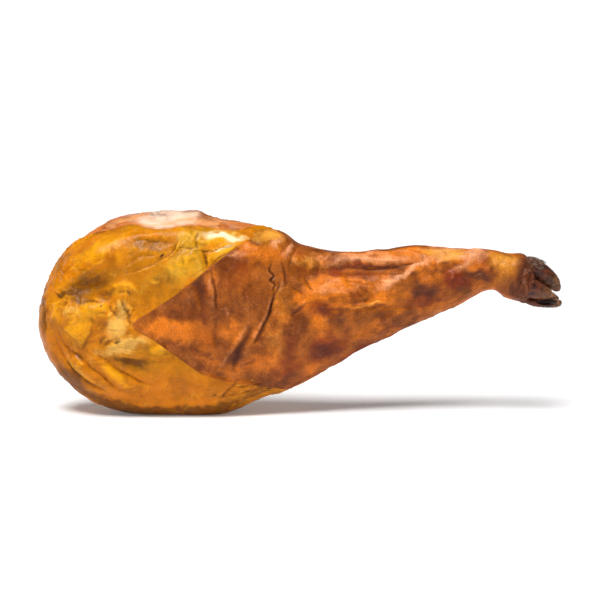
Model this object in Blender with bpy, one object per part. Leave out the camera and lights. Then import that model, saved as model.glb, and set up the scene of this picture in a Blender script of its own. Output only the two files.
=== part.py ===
"""A whole dry-cured ham on the bone, with its trotter: the leg as one solid and its four horn claws.

The ham stands on the rounded edge of the thigh with the shank rising towards +X. The outer side, with
the rind, faces -Y. The leg is a loft: a closed section, computed at each station along X, is bridged
to the next one. All sizes below are millimetres and become metres when a mesh is made.
"""

import bmesh
import bpy
import numpy as np

MM = 0.001

# The middle of the finished ham's box in the sizes below. It goes to the origin, on the ground.
BOX_MIDDLE = (1.8, -1.8, 0.0)

# Reach of the leg along X, and how long and how full its two rounded ends are.
BUTT_X = -359.5
TOE_X = 321.0
BUTT_DOME = 180.0
TOE_DOME = 16.0
BUTT_FULLNESS = 2.2
TOE_FULLNESS = 2.4
BUTT_DEPTH_POWER = 0.9

# Outline of the leg seen from the side: (x, height) along the upper and the lower edge.
UPPER_EDGE = (
    (-361, 270), (-270, 280), (-205, 284), (-145, 284), (-112, 275), (-46, 259), (-22, 249), (-8, 237),
    (20, 228), (53, 223), (86, 223), (152, 229), (218, 227), (262, 226), (285, 221), (310, 218), (330, 208),
)
LOWER_EDGE = (
    (-361, -4), (-270, -6), (-180, -5), (-112, -4), (-95, 2), (-79, 9), (-13, 34), (53, 70), (119, 105),
    (186, 137), (219, 151), (250, 169), (266, 172), (285, 162), (305, 156), (330, 151),
)
# Half of the thickness across the leg, and how far its middle stands off the XZ plane.
HALF_DEPTH = (
    (-361, 66), (-270, 70), (-180, 69), (-110, 63), (-40, 53), (20, 43), (80, 36), (150, 32),
    (210, 29), (250, 27), (275, 24), (305, 27), (330, 25),
)
MID_DEPTH = ((-361, 0), (-100, 0), (60, 4), (180, 5), (270, 2), (330, 0))

# How square the section is: 2 is an ellipse. The outer side bulges and the inner side is flatter.
OUTER_SQUARENESS = 2.1
INNER_SQUARENESS = 2.45
SHANK_SQUARENESS = 2.1
THIGH_ENDS_X = (-60.0, 60.0)

# The knife's trim along the upper edge: a sloping facet from the crest down to the outer side.
TRIM_SLOPE = 0.56
TRIM_DROP = 1.5
TRIM_CREST_DEPTH = 4.0
TRIM_SOFTNESS = 3.0
TRIM_FADES_X = (-60.0, 10.0)

# Broad swellings: (x, height, side, radius along x, radius along height, rise); side -1 is outer.
SWELLINGS = (
    (-300, 150, -1, 60, 45, 5),
    (-215, 165, -1, 70, 30, -5),
    (-190, 75, -1, 70, 30, 4),
    (-60, 180, -1, 60, 50, 4),
    (95, 213, -1, 90, 9, 5),
    (105, 196, -1, 80, 6, -4),
    (60, 150, -1, 55, 30, 4),
    (238, 222, -1, 14, 12, 3),
    (-150, 150, 1, 110, 70, -4),
    (120, 190, 1, 90, 20, 4),
    (-290, 210, 1, 45, 40, 5),
)
SWELLING_FACING = 1.6

# Rings along the leg and points around each ring. The first and last ring stop just short of the
# ends' poles, by these angles of the round ends.
DOME_RINGS = 17
RING_STEP = 10.5
TOE_RINGS = 5
AROUND = 44
BUTT_POLE_ANGLE = 0.06
TOE_POLE_ANGLE = 0.1

# Horn claws: name, centre line from root to tip as (x, y, z), then half height and half depth there.
CLAWS = (
    (
        "main_claw_upper",
        ((306, 10, 205), (322, 10.5, 201), (339, 10.5, 189), (351, 10, 179), (357.5, 9, 172)),
        (12, 13.5, 14, 11, 5), (11, 12, 12.5, 9.5, 5),
    ),
    (
        "main_claw_lower",
        ((300, -12, 179), (312, -13.5, 177), (325, -14.5, 172.5), (338, -14, 168.5), (350, -12.5, 164.5)),
        (14, 14.5, 12.5, 8.5, 2.5), (10.5, 12, 11.5, 9, 3),
    ),
    (
        "dew_claw_far",
        ((308, 12, 169), (322, 12.5, 167), (338, 12.5, 165), (350, 11, 161), (357, 10, 158)),
        (6, 7, 7.5, 5.5, 3), (7, 8, 8, 6, 3.5),
    ),
    (
        "dew_claw_near",
        ((311, -8, 156.5), (322, -9, 153.5), (338, -9.5, 153), (352, -9.5, 153.5), (358, -9, 154)),
        (3, 4.5, 5, 5.5, 4), (6, 9.5, 11, 9, 5),
    ),
)
CLAW_RINGS = 12
CLAW_AROUND = 20
CLAW_SQUARENESS = 2.5
CLAW_SEAT_GAP = 0.4
# The rounded tip past the last station: (reach as a share of the tip's radius, share of the section).
CLAW_TIP = ((0.6, 0.8), (0.9, 0.44))

# The hollow sole of the near dew claw: centre, radii and tilt about X of the scoop that cuts it.
SCOOP_CENTRE = (341.0, -21.0, 157.5)
SCOOP_RADII = (17.0, 9.0, 5.0)
SCOOP_TILT = np.radians(-18)
SCOOP_SEGMENTS = 24
SCOOP_RINGS = 14

LEG_COLOUR = (0.53, 0.19, 0.02, 1)
LEG_ROUGHNESS = 0.45
HORN_COLOUR = (0.035, 0.018, 0.012, 1)
HORN_ROUGHNESS = 0.3


def smooth(table, x):
    """Cubic Hermite curve through the table's points, with slopes from the neighbouring points."""
    xs, ys = np.array(table, float).T
    slopes = np.gradient(ys, xs)
    x = np.clip(x, xs[0], xs[-1])
    i = np.clip(np.searchsorted(xs, x) - 1, 0, len(xs) - 2)
    step = xs[i + 1] - xs[i]
    t = (x - xs[i]) / step
    return (
        ys[i] * (1 + 2 * t) * (1 - t) ** 2
        + ys[i + 1] * t**2 * (3 - 2 * t)
        + step * (slopes[i] * t * (1 - t) ** 2 - slopes[i + 1] * t**2 * (1 - t))
    )


def placed(point):
    """A point of the sizes above, in metres, with the middle of the ham's box over the origin."""
    return (np.array(point) - BOX_MIDDLE) * MM


def ramp(low, high, x):
    """0 below low, 1 above high, and a smooth step between them."""
    t = np.clip((x - low) / (high - low), 0, 1)
    return t * t * (3 - 2 * t)


def dome(distance, length, fullness):
    """How much of the full section is left at a distance past where a round end begins."""
    share = np.clip(distance / length, 0, 1)
    return (1 - share**fullness) ** (1 / fullness)


def ring_positions():
    """Stations along X: close together where the round ends curve away."""
    butt = BUTT_X + BUTT_DOME * (1 - np.cos(np.linspace(BUTT_POLE_ANGLE, np.pi / 2, DOME_RINGS)))
    middle = np.arange(butt[-1] + RING_STEP, TOE_X - TOE_DOME - RING_STEP / 2, RING_STEP)
    toe = TOE_X - TOE_DOME * (1 - np.sin(np.linspace(0, np.pi / 2 - TOE_POLE_ANGLE, TOE_RINGS)))
    return np.concatenate([butt, middle, toe])


def section(x, angles):
    """(y, z) around the leg at station x: a superellipse between the edges, trimmed and swollen."""
    upper, lower = smooth(UPPER_EDGE, x), smooth(LOWER_EDGE, x)
    left = dome(BUTT_X + BUTT_DOME - x, BUTT_DOME, BUTT_FULLNESS)
    right = dome(x - (TOE_X - TOE_DOME), TOE_DOME, TOE_FULLNESS)
    half_height = (upper - lower) / 2 * left * right
    half_depth = smooth(HALF_DEPTH, x) * left**BUTT_DEPTH_POWER * right
    thigh = 1 - ramp(*THIGH_ENDS_X, x)
    inner = (1 + np.cos(angles)) / 2
    squareness = OUTER_SQUARENESS + (INNER_SQUARENESS - OUTER_SQUARENESS) * inner
    squareness = SHANK_SQUARENESS + (squareness - SHANK_SQUARENESS) * thigh
    across, up = np.cos(angles), np.sin(angles)
    reach = (np.abs(across) ** squareness + np.abs(up) ** squareness) ** (-1 / squareness)
    y, z = half_depth * reach * across, half_height * reach * up
    y += smooth(MID_DEPTH, x)
    z += (upper + lower) / 2
    middle = (upper + lower) / 2
    return trimmed(x, *swollen(x, y, z, across, up), middle + (upper - middle) * left)


def swollen(x, y, z, across, up):
    """Adds each broad swelling as a soft bump along the section's outward direction."""
    rise = np.zeros_like(y)
    for cx, cz, side, rx, rz, height in SWELLINGS:
        facing = np.clip(side * across * SWELLING_FACING, 0, 1)
        rise += height * facing * np.exp(-(((x - cx) / rx) ** 2) - ((z - cz) / rz) ** 2)
    return y + rise * across, z + rise * up


def trimmed(x, y, z, crest):
    """Lowers what stands over the trim's plane, which falls from the crest towards the outer side."""
    plane = crest - TRIM_DROP - TRIM_SLOPE * (TRIM_CREST_DEPTH - y)
    over = TRIM_SOFTNESS * np.logaddexp(0, (z - plane) / TRIM_SOFTNESS)
    return y, z - over * (1 - ramp(*TRIM_FADES_X, x))


def new_object(name, mesh, colour, roughness):
    """Gives the mesh its own object and its own material, shaded smooth."""
    material = bpy.data.materials.new(name)
    material.use_nodes = True
    shader = material.node_tree.nodes["Principled BSDF"]
    shader.inputs["Base Color"].default_value = colour
    shader.inputs["Roughness"].default_value = roughness
    mesh.materials.append(material)
    mesh.shade_smooth()
    made = bpy.data.objects.new(name, mesh)
    bpy.context.scene.collection.objects.link(made)
    return made


def loft(name, rings):
    """A closed mesh: each ring of points is bridged to the next one, and both ends are capped."""
    shape = bmesh.new()
    made = [[shape.verts.new(placed(point)) for point in ring] for ring in rings]
    for near, far in zip(made, made[1:]):
        for i in range(len(near)):
            j = (i + 1) % len(near)
            shape.faces.new((near[i], near[j], far[j], far[i]))
    for ring in (made[0][::-1], made[-1]):
        middle = shape.verts.new(sum((v.co for v in ring), ring[0].co * 0) / len(ring))
        for i in range(len(ring)):
            shape.faces.new((ring[i], ring[(i + 1) % len(ring)], middle))
    bmesh.ops.recalc_face_normals(shape, faces=shape.faces)
    mesh = bpy.data.meshes.new(name)
    shape.to_mesh(mesh)
    shape.free()
    return mesh


def cut_flat(mesh):
    """Cuts away what lies under the ground plane and closes the cut with the flat resting spot."""
    shape = bmesh.new()
    shape.from_mesh(mesh)
    bmesh.ops.bisect_plane(
        shape,
        geom=[*shape.verts, *shape.edges, *shape.faces],
        plane_co=(0, 0, 0),
        plane_no=(0, 0, -1),
        clear_outer=True,
    )
    bmesh.ops.holes_fill(shape, edges=[e for e in shape.edges if e.is_boundary])
    shape.to_mesh(mesh)
    shape.free()


def leg_mesh():
    """The whole leg, cut flat where it rests."""
    angles = np.linspace(0, 2 * np.pi, AROUND, endpoint=False)
    rings = []
    for x in ring_positions():
        y, z = section(x, angles)
        rings.append(np.column_stack([np.full(AROUND, x), y, z]))
    mesh = loft("leg", rings)
    cut_flat(mesh)
    return mesh


def claw_rings(path, half_heights, half_depths, grow=0.0):
    """Sections square to the claw's centre line, rounding off past its last point into the tip."""
    stations = np.linspace(0, 1, len(path))
    along = np.linspace(0, 1, CLAW_RINGS)
    centre = [smooth(list(zip(stations, column)), along) for column in zip(*path)]
    centre = np.column_stack(centre)
    tangent = np.gradient(centre, axis=0)
    tangent /= np.linalg.norm(tangent, axis=1)[:, None]
    height = smooth(list(zip(stations, half_heights)), along)
    depth = smooth(list(zip(stations, half_depths)), along)
    tip = min(half_heights[-1], half_depths[-1])
    angles = np.linspace(0, 2 * np.pi, CLAW_AROUND, endpoint=False)
    across, up = np.cos(angles), np.sin(angles)
    reach = (np.abs(across) ** CLAW_SQUARENESS + np.abs(up) ** CLAW_SQUARENESS) ** (-1 / CLAW_SQUARENESS)
    body = [(i, 0.0, 1.0) for i in range(CLAW_RINGS)]
    end = [(CLAW_RINGS - 1, ahead, share) for ahead, share in CLAW_TIP]
    rings = []
    for i, ahead, share in body + end:
        upward = np.cross(tangent[i], (0, 1, 0))
        upward *= np.sign(upward[2])
        middle = centre[i] + tangent[i] * ahead * (tip + grow)
        rings.append(
            middle
            + np.outer(reach * across * (depth[i] + grow) * share, (0, 1, 0))
            + np.outer(reach * up * (height[i] + grow) * share, upward)
        )
    rings[0] = rings[0] - tangent[0] * grow
    return rings


def scoop():
    """The tilted ellipsoid that hollows the near dew claw's sole."""
    shape = bmesh.new()
    bmesh.ops.create_uvsphere(shape, u_segments=SCOOP_SEGMENTS, v_segments=SCOOP_RINGS, radius=1.0)
    points = np.array([v.co for v in shape.verts]) * SCOOP_RADII
    cos, sin = np.cos(SCOOP_TILT), np.sin(SCOOP_TILT)
    turn = np.array([[1, 0, 0], [0, cos, -sin], [0, sin, cos]])
    for vert, point in zip(shape.verts, points @ turn.T + SCOOP_CENTRE):
        vert.co = placed(point)
    mesh = bpy.data.meshes.new("scoop")
    shape.to_mesh(mesh)
    shape.free()
    return mesh


def cutter(name, mesh):
    """A hidden object whose mesh is cut away from a solid."""
    made = bpy.data.objects.new(name, mesh)
    bpy.context.scene.collection.objects.link(made)
    made.hide_render = True
    made.display_type = "WIRE"
    return made


def cut(piece, tool):
    """Takes the tool's volume away from the piece."""
    difference = piece.modifiers.new("cut_" + tool.name, "BOOLEAN")
    difference.operation = "DIFFERENCE"
    difference.solver = "EXACT"
    difference.object = tool


def build():
    """Makes the leg and its claws, with a seat in the leg for each claw."""
    for leftover in list(bpy.data.objects):
        bpy.data.objects.remove(leftover)
    leg = new_object("leg", leg_mesh(), LEG_COLOUR, LEG_ROUGHNESS)
    for name, path, half_heights, half_depths in CLAWS:
        horn = loft(name, claw_rings(path, half_heights, half_depths))
        claw = new_object(name, horn, HORN_COLOUR, HORN_ROUGHNESS)
        seat = loft(name + "_seat", claw_rings(path, half_heights, half_depths, CLAW_SEAT_GAP))
        cut(leg, cutter(name + "_seat", seat))
        if name == "dew_claw_near":
            cut(claw, cutter("scoop", scoop()))


build()
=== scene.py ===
"""Looks of a whole dry-cured ham on the bone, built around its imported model.

The ham stands on the rounded edge of the thigh, with the shank and the trotter towards +X and the
outer side, which wears the rind, towards -Y. Lengths are millimetres and become metres when a mesh
is made. Angles around the leg start on the inner side (+Y) and go over the top to the outer side.
"""

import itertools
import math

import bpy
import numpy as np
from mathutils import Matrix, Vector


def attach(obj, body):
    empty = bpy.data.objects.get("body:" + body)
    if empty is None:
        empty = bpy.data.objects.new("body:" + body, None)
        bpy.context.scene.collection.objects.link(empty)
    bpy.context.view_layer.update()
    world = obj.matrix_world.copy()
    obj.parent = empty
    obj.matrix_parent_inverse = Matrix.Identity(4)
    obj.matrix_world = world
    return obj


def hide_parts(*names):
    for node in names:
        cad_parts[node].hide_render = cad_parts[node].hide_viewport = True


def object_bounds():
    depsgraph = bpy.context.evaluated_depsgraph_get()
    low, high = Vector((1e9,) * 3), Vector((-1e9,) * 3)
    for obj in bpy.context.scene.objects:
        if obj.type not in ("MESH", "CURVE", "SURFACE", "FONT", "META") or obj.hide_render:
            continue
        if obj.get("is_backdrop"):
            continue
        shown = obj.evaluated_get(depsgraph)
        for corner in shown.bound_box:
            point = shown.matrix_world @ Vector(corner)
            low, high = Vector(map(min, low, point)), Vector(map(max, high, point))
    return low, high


bl_info = {
    "name": "Cured ham",
    "version": (1, 0, 0),
    "blender": (4, 5, 0),
    "location": "3D View > Sidebar > Ham",
    "description": "Makes the fat, rind, claws and studio of a whole dry-cured ham",
    "category": "Add Mesh",
}

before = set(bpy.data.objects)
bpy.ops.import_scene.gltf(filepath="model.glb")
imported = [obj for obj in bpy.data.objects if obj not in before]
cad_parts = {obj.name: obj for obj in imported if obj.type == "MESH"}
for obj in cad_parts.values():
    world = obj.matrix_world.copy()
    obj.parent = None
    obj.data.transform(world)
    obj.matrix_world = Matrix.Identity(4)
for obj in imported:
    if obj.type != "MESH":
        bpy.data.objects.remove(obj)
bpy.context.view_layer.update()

MM = 0.001

# The middle of the ham's box in the sizes below. It goes to the origin, on the ground.
BOX_MIDDLE = np.array((1.8, -1.8, 0.0))

# ---------------------------------------------------------------------------------------------
# The leg's form: the same stations and sections as its solid
# ---------------------------------------------------------------------------------------------

BUTT_X = -359.5
TOE_X = 321.0
BUTT_DOME = 180.0
TOE_DOME = 16.0
BUTT_FULLNESS = 2.2
TOE_FULLNESS = 2.4
BUTT_DEPTH_POWER = 0.9

# Outline seen from the side: (x, height) along the upper and the lower edge.
UPPER_EDGE = (
    (-361, 270), (-270, 280), (-205, 284), (-145, 284), (-112, 275), (-46, 259), (-22, 249), (-8, 237),
    (20, 228), (53, 223), (86, 223), (152, 229), (218, 227), (262, 226), (285, 221), (310, 218),
    (330, 208),
)
LOWER_EDGE = (
    (-361, -4), (-270, -6), (-180, -5), (-112, -4), (-95, 2), (-79, 9), (-13, 34), (53, 70), (119, 105),
    (186, 137), (219, 151), (250, 169), (266, 172), (285, 162), (305, 156), (330, 151),
)
# Half of the thickness across the leg, and how far its middle stands off the XZ plane.
HALF_DEPTH = (
    (-361, 66), (-270, 70), (-180, 69), (-110, 63), (-40, 53), (20, 43), (80, 36), (150, 32),
    (210, 29), (250, 27), (275, 24), (305, 27), (330, 25),
)
MID_DEPTH = ((-361, 0), (-100, 0), (60, 4), (180, 5), (270, 2), (330, 0))

OUTER_SQUARENESS = 2.1
INNER_SQUARENESS = 2.45
SHANK_SQUARENESS = 2.1
THIGH_ENDS_X = (-60.0, 60.0)

# The knife's trim along the upper edge.
TRIM_SLOPE = 0.56
TRIM_DROP = 1.5
TRIM_CREST_DEPTH = 4.0
TRIM_SOFTNESS = 3.0
TRIM_FADES_X = (-60.0, 10.0)

# Broad swellings: (x, height, side, radius along x, radius along height, rise); side -1 is outer.
SWELLINGS = (
    (-300, 150, -1, 60, 45, 5), (-215, 165, -1, 70, 30, -5), (-190, 75, -1, 70, 30, 4),
    (-60, 180, -1, 60, 50, 4), (95, 213, -1, 90, 9, 5), (105, 196, -1, 80, 6, -4),
    (60, 150, -1, 55, 30, 4), (238, 222, -1, 14, 12, 3), (-150, 150, 1, 110, 70, -4),
    (120, 190, 1, 90, 20, 4), (-290, 210, 1, 45, 40, 5),
)
SWELLING_FACING = 1.6

# ---------------------------------------------------------------------------------------------
# Where the rind ends and where lean meat shows, around the leg
# ---------------------------------------------------------------------------------------------

# The knife's V: (angle in degrees, x) of the rind's edge.
RIND_EDGE = (
    (0, -26), (40, -14), (70, -22), (90, -44), (104, -62), (118, -66), (128, -74), (139, -96),
    (150, -122), (160, -146), (168, -170), (176, -202), (183, -226), (191, -198), (200, -167),
    (207, -142),
    (215, -106), (224, -74), (234, -47), (250, -22), (270, -8), (300, -12), (330, -22), (360, -26),
)
# The lean face of the inner side reaches over the crest: (x, angle in degrees) of its two borders.
LEAN_UPPER = (
    (-345, 60), (-310, 82), (-285, 95), (-256, 103), (-232, 106), (-205, 117), (-178, 122), (-157, 115),
    (-126, 112), (-100, 110), (-84, 105), (-66, 92), (-48, 74),
)
LEAN_LOWER = (
    (-345, 40), (-325, 8), (-290, -22), (-240, -36), (-180, -36), (-130, -26), (-95, -6), (-72, 25),
    (-58, 60),
)
LEAN_ENDS_X = ((-348, -330), (-60, -36))
# Half the width of its upper and lower border in degrees, and how far the borders wander.
LEAN_BORDERS = (1.2, 2.5)
LEAN_WANDER = 3.0
# The pale bloom on the crest fades in and out between these stations.
BLOOM_ENDS_X = ((-244, -212), (-150, -122))
# Sideways parts of the outward direction between which a place counts as outer, or as crest.
OUTER_FACING = (0.0, 0.45)
CREST_FACING = (-0.35, 0.05)
# Where the rind turns into the shank's, and where it darkens towards the claws.
SHANK_STARTS_X = (-30, 60)
FOOT_DARKENS_X = (284, 322)

# ---------------------------------------------------------------------------------------------
# Relief of the outer side
# ---------------------------------------------------------------------------------------------

# Strokes: (points (x, height) along the line, width, rise, lip). A stroke with a negative rise is a
# groove. The lip lifts the left side of the line's direction and lowers the right side.
FAT_STROKES = (
    (((-160, 260), (-166, 240), (-174, 227), (-190, 217), (-218, 204), (-246, 197)), 1.6, -0.5, 1.2),
    (((-170, 230), (-156, 235), (-140, 234)), 1.7, -1.3, 0.9),
    (((-128, 265), (-112, 264), (-96, 262), (-76, 258)), 1.2, -2.4, 1.0),
    (((-102, 263), (-90, 261), (-75, 258)), 2.2, -3.2, 0.8),
    (((-282, 252), (-258, 261), (-232, 266)), 1.3, -1.7, 0.9),
    (((-276, 257), (-256, 265), (-238, 269)), 1.1, -1.2, 0.6),
    (((-226, 268), (-200, 272), (-170, 271)), 1.2, -0.7, 0.5),
    (((-214, 276), (-190, 278), (-150, 274)), 1.4, -0.8, 0.5),
    (((-150, 262), (-140, 270), (-132, 279)), 1.6, -1.0, 0.6),
    (((-136, 258), (-141, 246), (-140, 234)), 1.6, -1.4, -0.9),
    (((-143, 233), (-122, 231), (-104, 235), (-84, 236)), 1.5, -1.3, 2.0),
    (((-132, 231), (-127, 221), (-123, 208)), 1.5, -1.7, 1.2),
    (((-150, 241), (-144, 246), (-150, 254)), 1.8, 1.0, 0.0),
    (((-138, 240), (-128, 243), (-116, 241)), 2.2, 1.2, 0.0),
    (((-172, 219), (-164, 212), (-150, 208)), 2.4, 0.9, 0.0),
    (((-182, 212), (-176, 200), (-178, 186)), 3.0, -0.9, 0.5),
    (((-206, 196), (-196, 188), (-186, 190)), 3.0, 1.1, 0.0),
    (((-226, 130), (-232, 140), (-228, 150)), 2.4, -1.4, 0.6),
    (((-216, 128), (-222, 138), (-219, 146)), 2.0, 1.0, 0.0),
    (((-276, 140), (-268, 148), (-258, 146)), 2.2, -1.6, 0.8),
    (((-262, 140), (-254, 146), (-250, 156)), 2.2, 1.4, 0.0),
    (((-292, 160), (-280, 164), (-268, 162)), 2.0, -1.8, 0.8),
    (((-284, 146), (-274, 143), (-264, 147)), 1.8, 1.2, 0.0),
    (((-260, 116), (-268, 108), (-272, 98)), 2.4, -1.3, 0.6),
    (((-340, 168), (-346, 156), (-348, 140)), 2.0, 1.4, 0.0),
    (((-334, 176), (-326, 168), (-318, 172)), 2.0, -1.4, 0.6),
    (((-148, 229), (-139, 220), (-131, 207)), 2.4, 1.3, 0.0),
    (((-158, 224), (-154, 210), (-147, 198)), 3.5, -0.9, 0.4),
    (((-309, 195), (-281, 208), (-250, 222), (-228, 230)), 1.8, 0.9, 0.0),
    (((-304, 184), (-280, 198), (-255, 209)), 1.8, 0.7, 0.0),
    (((-268, 214), (-240, 226), (-212, 232)), 2.2, -0.9, 0.5),
    (((-240, 212), (-215, 222), (-190, 228)), 2.6, -1.1, -0.4),
    (((-230, 243), (-200, 247), (-172, 243)), 2.4, -1.0, 0.4),
    (((-324, 167), (-332, 150), (-340, 131)), 4.5, 2.8, 0.0),
    (((-314, 168), (-320, 152), (-325, 136)), 2.4, -2.0, 0.0),
    (((-322, 214), (-334, 196), (-343, 176)), 3.0, -1.8, 0.8),
    (((-306, 222), (-318, 204), (-326, 186)), 3.6, -1.6, -0.8),
    (((-300, 236), (-310, 222), (-322, 198)), 2.0, 0.9, 0.0),
    (((-343, 150), (-338, 121), (-328, 95), (-312, 70), (-294, 50)), 3.0, -2.2, 1.4),
    (((-332, 128), (-322, 103), (-306, 80)), 2.6, -1.8, 1.0),
    (((-352, 160), (-350, 140), (-344, 118)), 2.5, -1.6, 0.8),
    (((-252, 180), (-238, 187), (-223, 181), (-213, 170)), 4.0, 1.9, 0.0),
    (((-246, 173), (-234, 176), (-224, 170)), 3.0, -1.6, 0.0),
    (((-244, 167), (-241, 155), (-235, 142)), 2.4, 2.2, 0.0),
    (((-238, 163), (-236, 154), (-231, 145)), 1.8, -2.0, 0.0),
    (((-232, 161), (-228, 153), (-231, 145)), 2.0, 2.0, 0.0),
    (((-258, 158), (-252, 148), (-240, 138)), 2.6, -1.6, 0.5),
    (((-264, 90), (-250, 100), (-236, 107), (-220, 112), (-206, 106), (-194, 96)), 6.0, 3.2, 1.4),
    (((-270, 99), (-256, 108), (-240, 115)), 2.6, -1.5, 0.6),
    (((-236, 96), (-220, 99), (-207, 93)), 2.4, 1.3, 0.0),
    (((-247, 90), (-230, 88), (-214, 84)), 2.4, 1.1, 0.0),
    (((-324, 99), (-302, 86), (-281, 69), (-260, 51), (-240, 38)), 3.4, -1.9, -2.2),
    (((-277, 90), (-263, 80), (-246, 67), (-222, 53), (-200, 47)), 3.4, -1.8, -2.2),
    (((-322, 78), (-303, 61), (-284, 46), (-268, 35)), 3.2, -1.3, -1.5),
    (((-292, 58), (-276, 46), (-258, 34)), 2.6, -1.0, 0.8),
    (((-85, 56), (-94, 42), (-110, 27)), 1.4, -1.5, 1.0),
    (((-102, 31), (-76, 35), (-50, 42), (-26, 47)), 1.4, -1.0, 0.6),
    (((-90, 44), (-66, 46), (-40, 52)), 1.5, -1.1, 0.5),
    (((-80, 24), (-56, 30), (-34, 38)), 1.5, -1.2, 0.4),
    (((-84, 50), (-70, 50), (-55, 54)), 1.8, 0.9, 0.0),
)
# Bumps and hollows: (x, height, radius along, radius across, turn in degrees, rise).
FAT_BUMPS = (
    (-277, 152, 15, 10, 10, 4.2), (-307, 147, 12, 10, 0, 2.6), (-287, 184, 27, 15, 20, -4.6),
    (-189, 97, 10, 8, 0, 2.2), (-228, 79, 25, 10, -14, -4.0), (-263, 170, 18, 9, 10, -1.5),
    (-248, 125, 12, 12, 0, 1.2), (-268, 230, 26, 12, 32, 2.6), (-200, 240, 24, 8, -5, -1.4),
    (-165, 62, 55, 20, -10, 1.8), (-108, 247, 26, 7, -3, 1.8), (-172, 208, 18, 10, 40, 1.4),
    (-190, 190, 14, 9, 20, -1.3), (-212, 160, 12, 8, 0, 1.0), (-318, 118, 12, 16, 10, 1.8),
    (-296, 70, 16, 8, -38, 2.2), (-250, 56, 22, 7, -34, 2.2), (-128, 40, 22, 12, 10, 1.0),
    (-265, 132, 10, 8, 0, -1.8), (-284, 166, 8, 5, 0, -1.6), (-150, 222, 9, 7, 0, 1.0),
)
# Overlapping folds of membrane, which melt into the fat away from a free tip:
# (corner points (x, height), softness of the edge, rise, tip, reach from the tip).
FAT_FLAPS = (
    (
        (
            (-324, 148), (-302, 156), (-282, 146), (-281, 132), (-285, 119), (-291, 107), (-296, 100),
            (-300, 103), (-306, 112), (-314, 120), (-325, 128),
        ),
        1.9, 3.0, (-297, 103), 34,
    ),
    (
        ((-125, 230), (-104, 234), (-84, 237), (-96, 228), (-112, 221), (-124, 208)),
        0.9, 1.8, (-110, 226), 30,
    ),
    (((-164, 262), (-136, 260), (-141, 236), (-168, 231)), 1.2, 1.2, (-165, 240), 28),
    (
        ((-160, 232), (-141, 235), (-130, 228), (-125, 210), (-146, 196), (-166, 214)),
        1.0, 1.3, (-134, 218), 34,
    ),
)
# Dark dried meat of the lean face: (x, height, radius along, radius across, turn, strength).
SEARED = (
    (-88, 260, 13, 2.2, -12, 1.2), (-112, 264, 16, 1.1, -4, 1.0), (-256, 261, 26, 3.0, 18, 0.9),
    (-127, 280, 15, 1.4, -14, 0.9), (-250, 268, 16, 1.4, 20, 0.7),
)
# Grey specks of the lean face, in the same order of values.
MOULD = ((-197, 278, 25, 5, 4, 1.0), (-230, 268, 10, 4, 18, 0.5))
# Thin dry wrinkles show most here: (x, height, radius along, radius across, turn, strength).
CRUMPLES = (
    (-308, 146, 18, 12, 0, 0.7), (-236, 104, 34, 14, 18, 1.0), (-280, 140, 30, 20, 0, 0.5),
    (-142, 238, 26, 16, 0, 0.7), (-238, 150, 16, 20, 0, 0.7), (-320, 170, 20, 40, 0, 0.6),
    (-300, 70, 40, 30, -30, 0.4), (-80, 40, 40, 14, 15, 0.7), (-200, 236, 40, 12, 0, 0.15),
)

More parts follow.
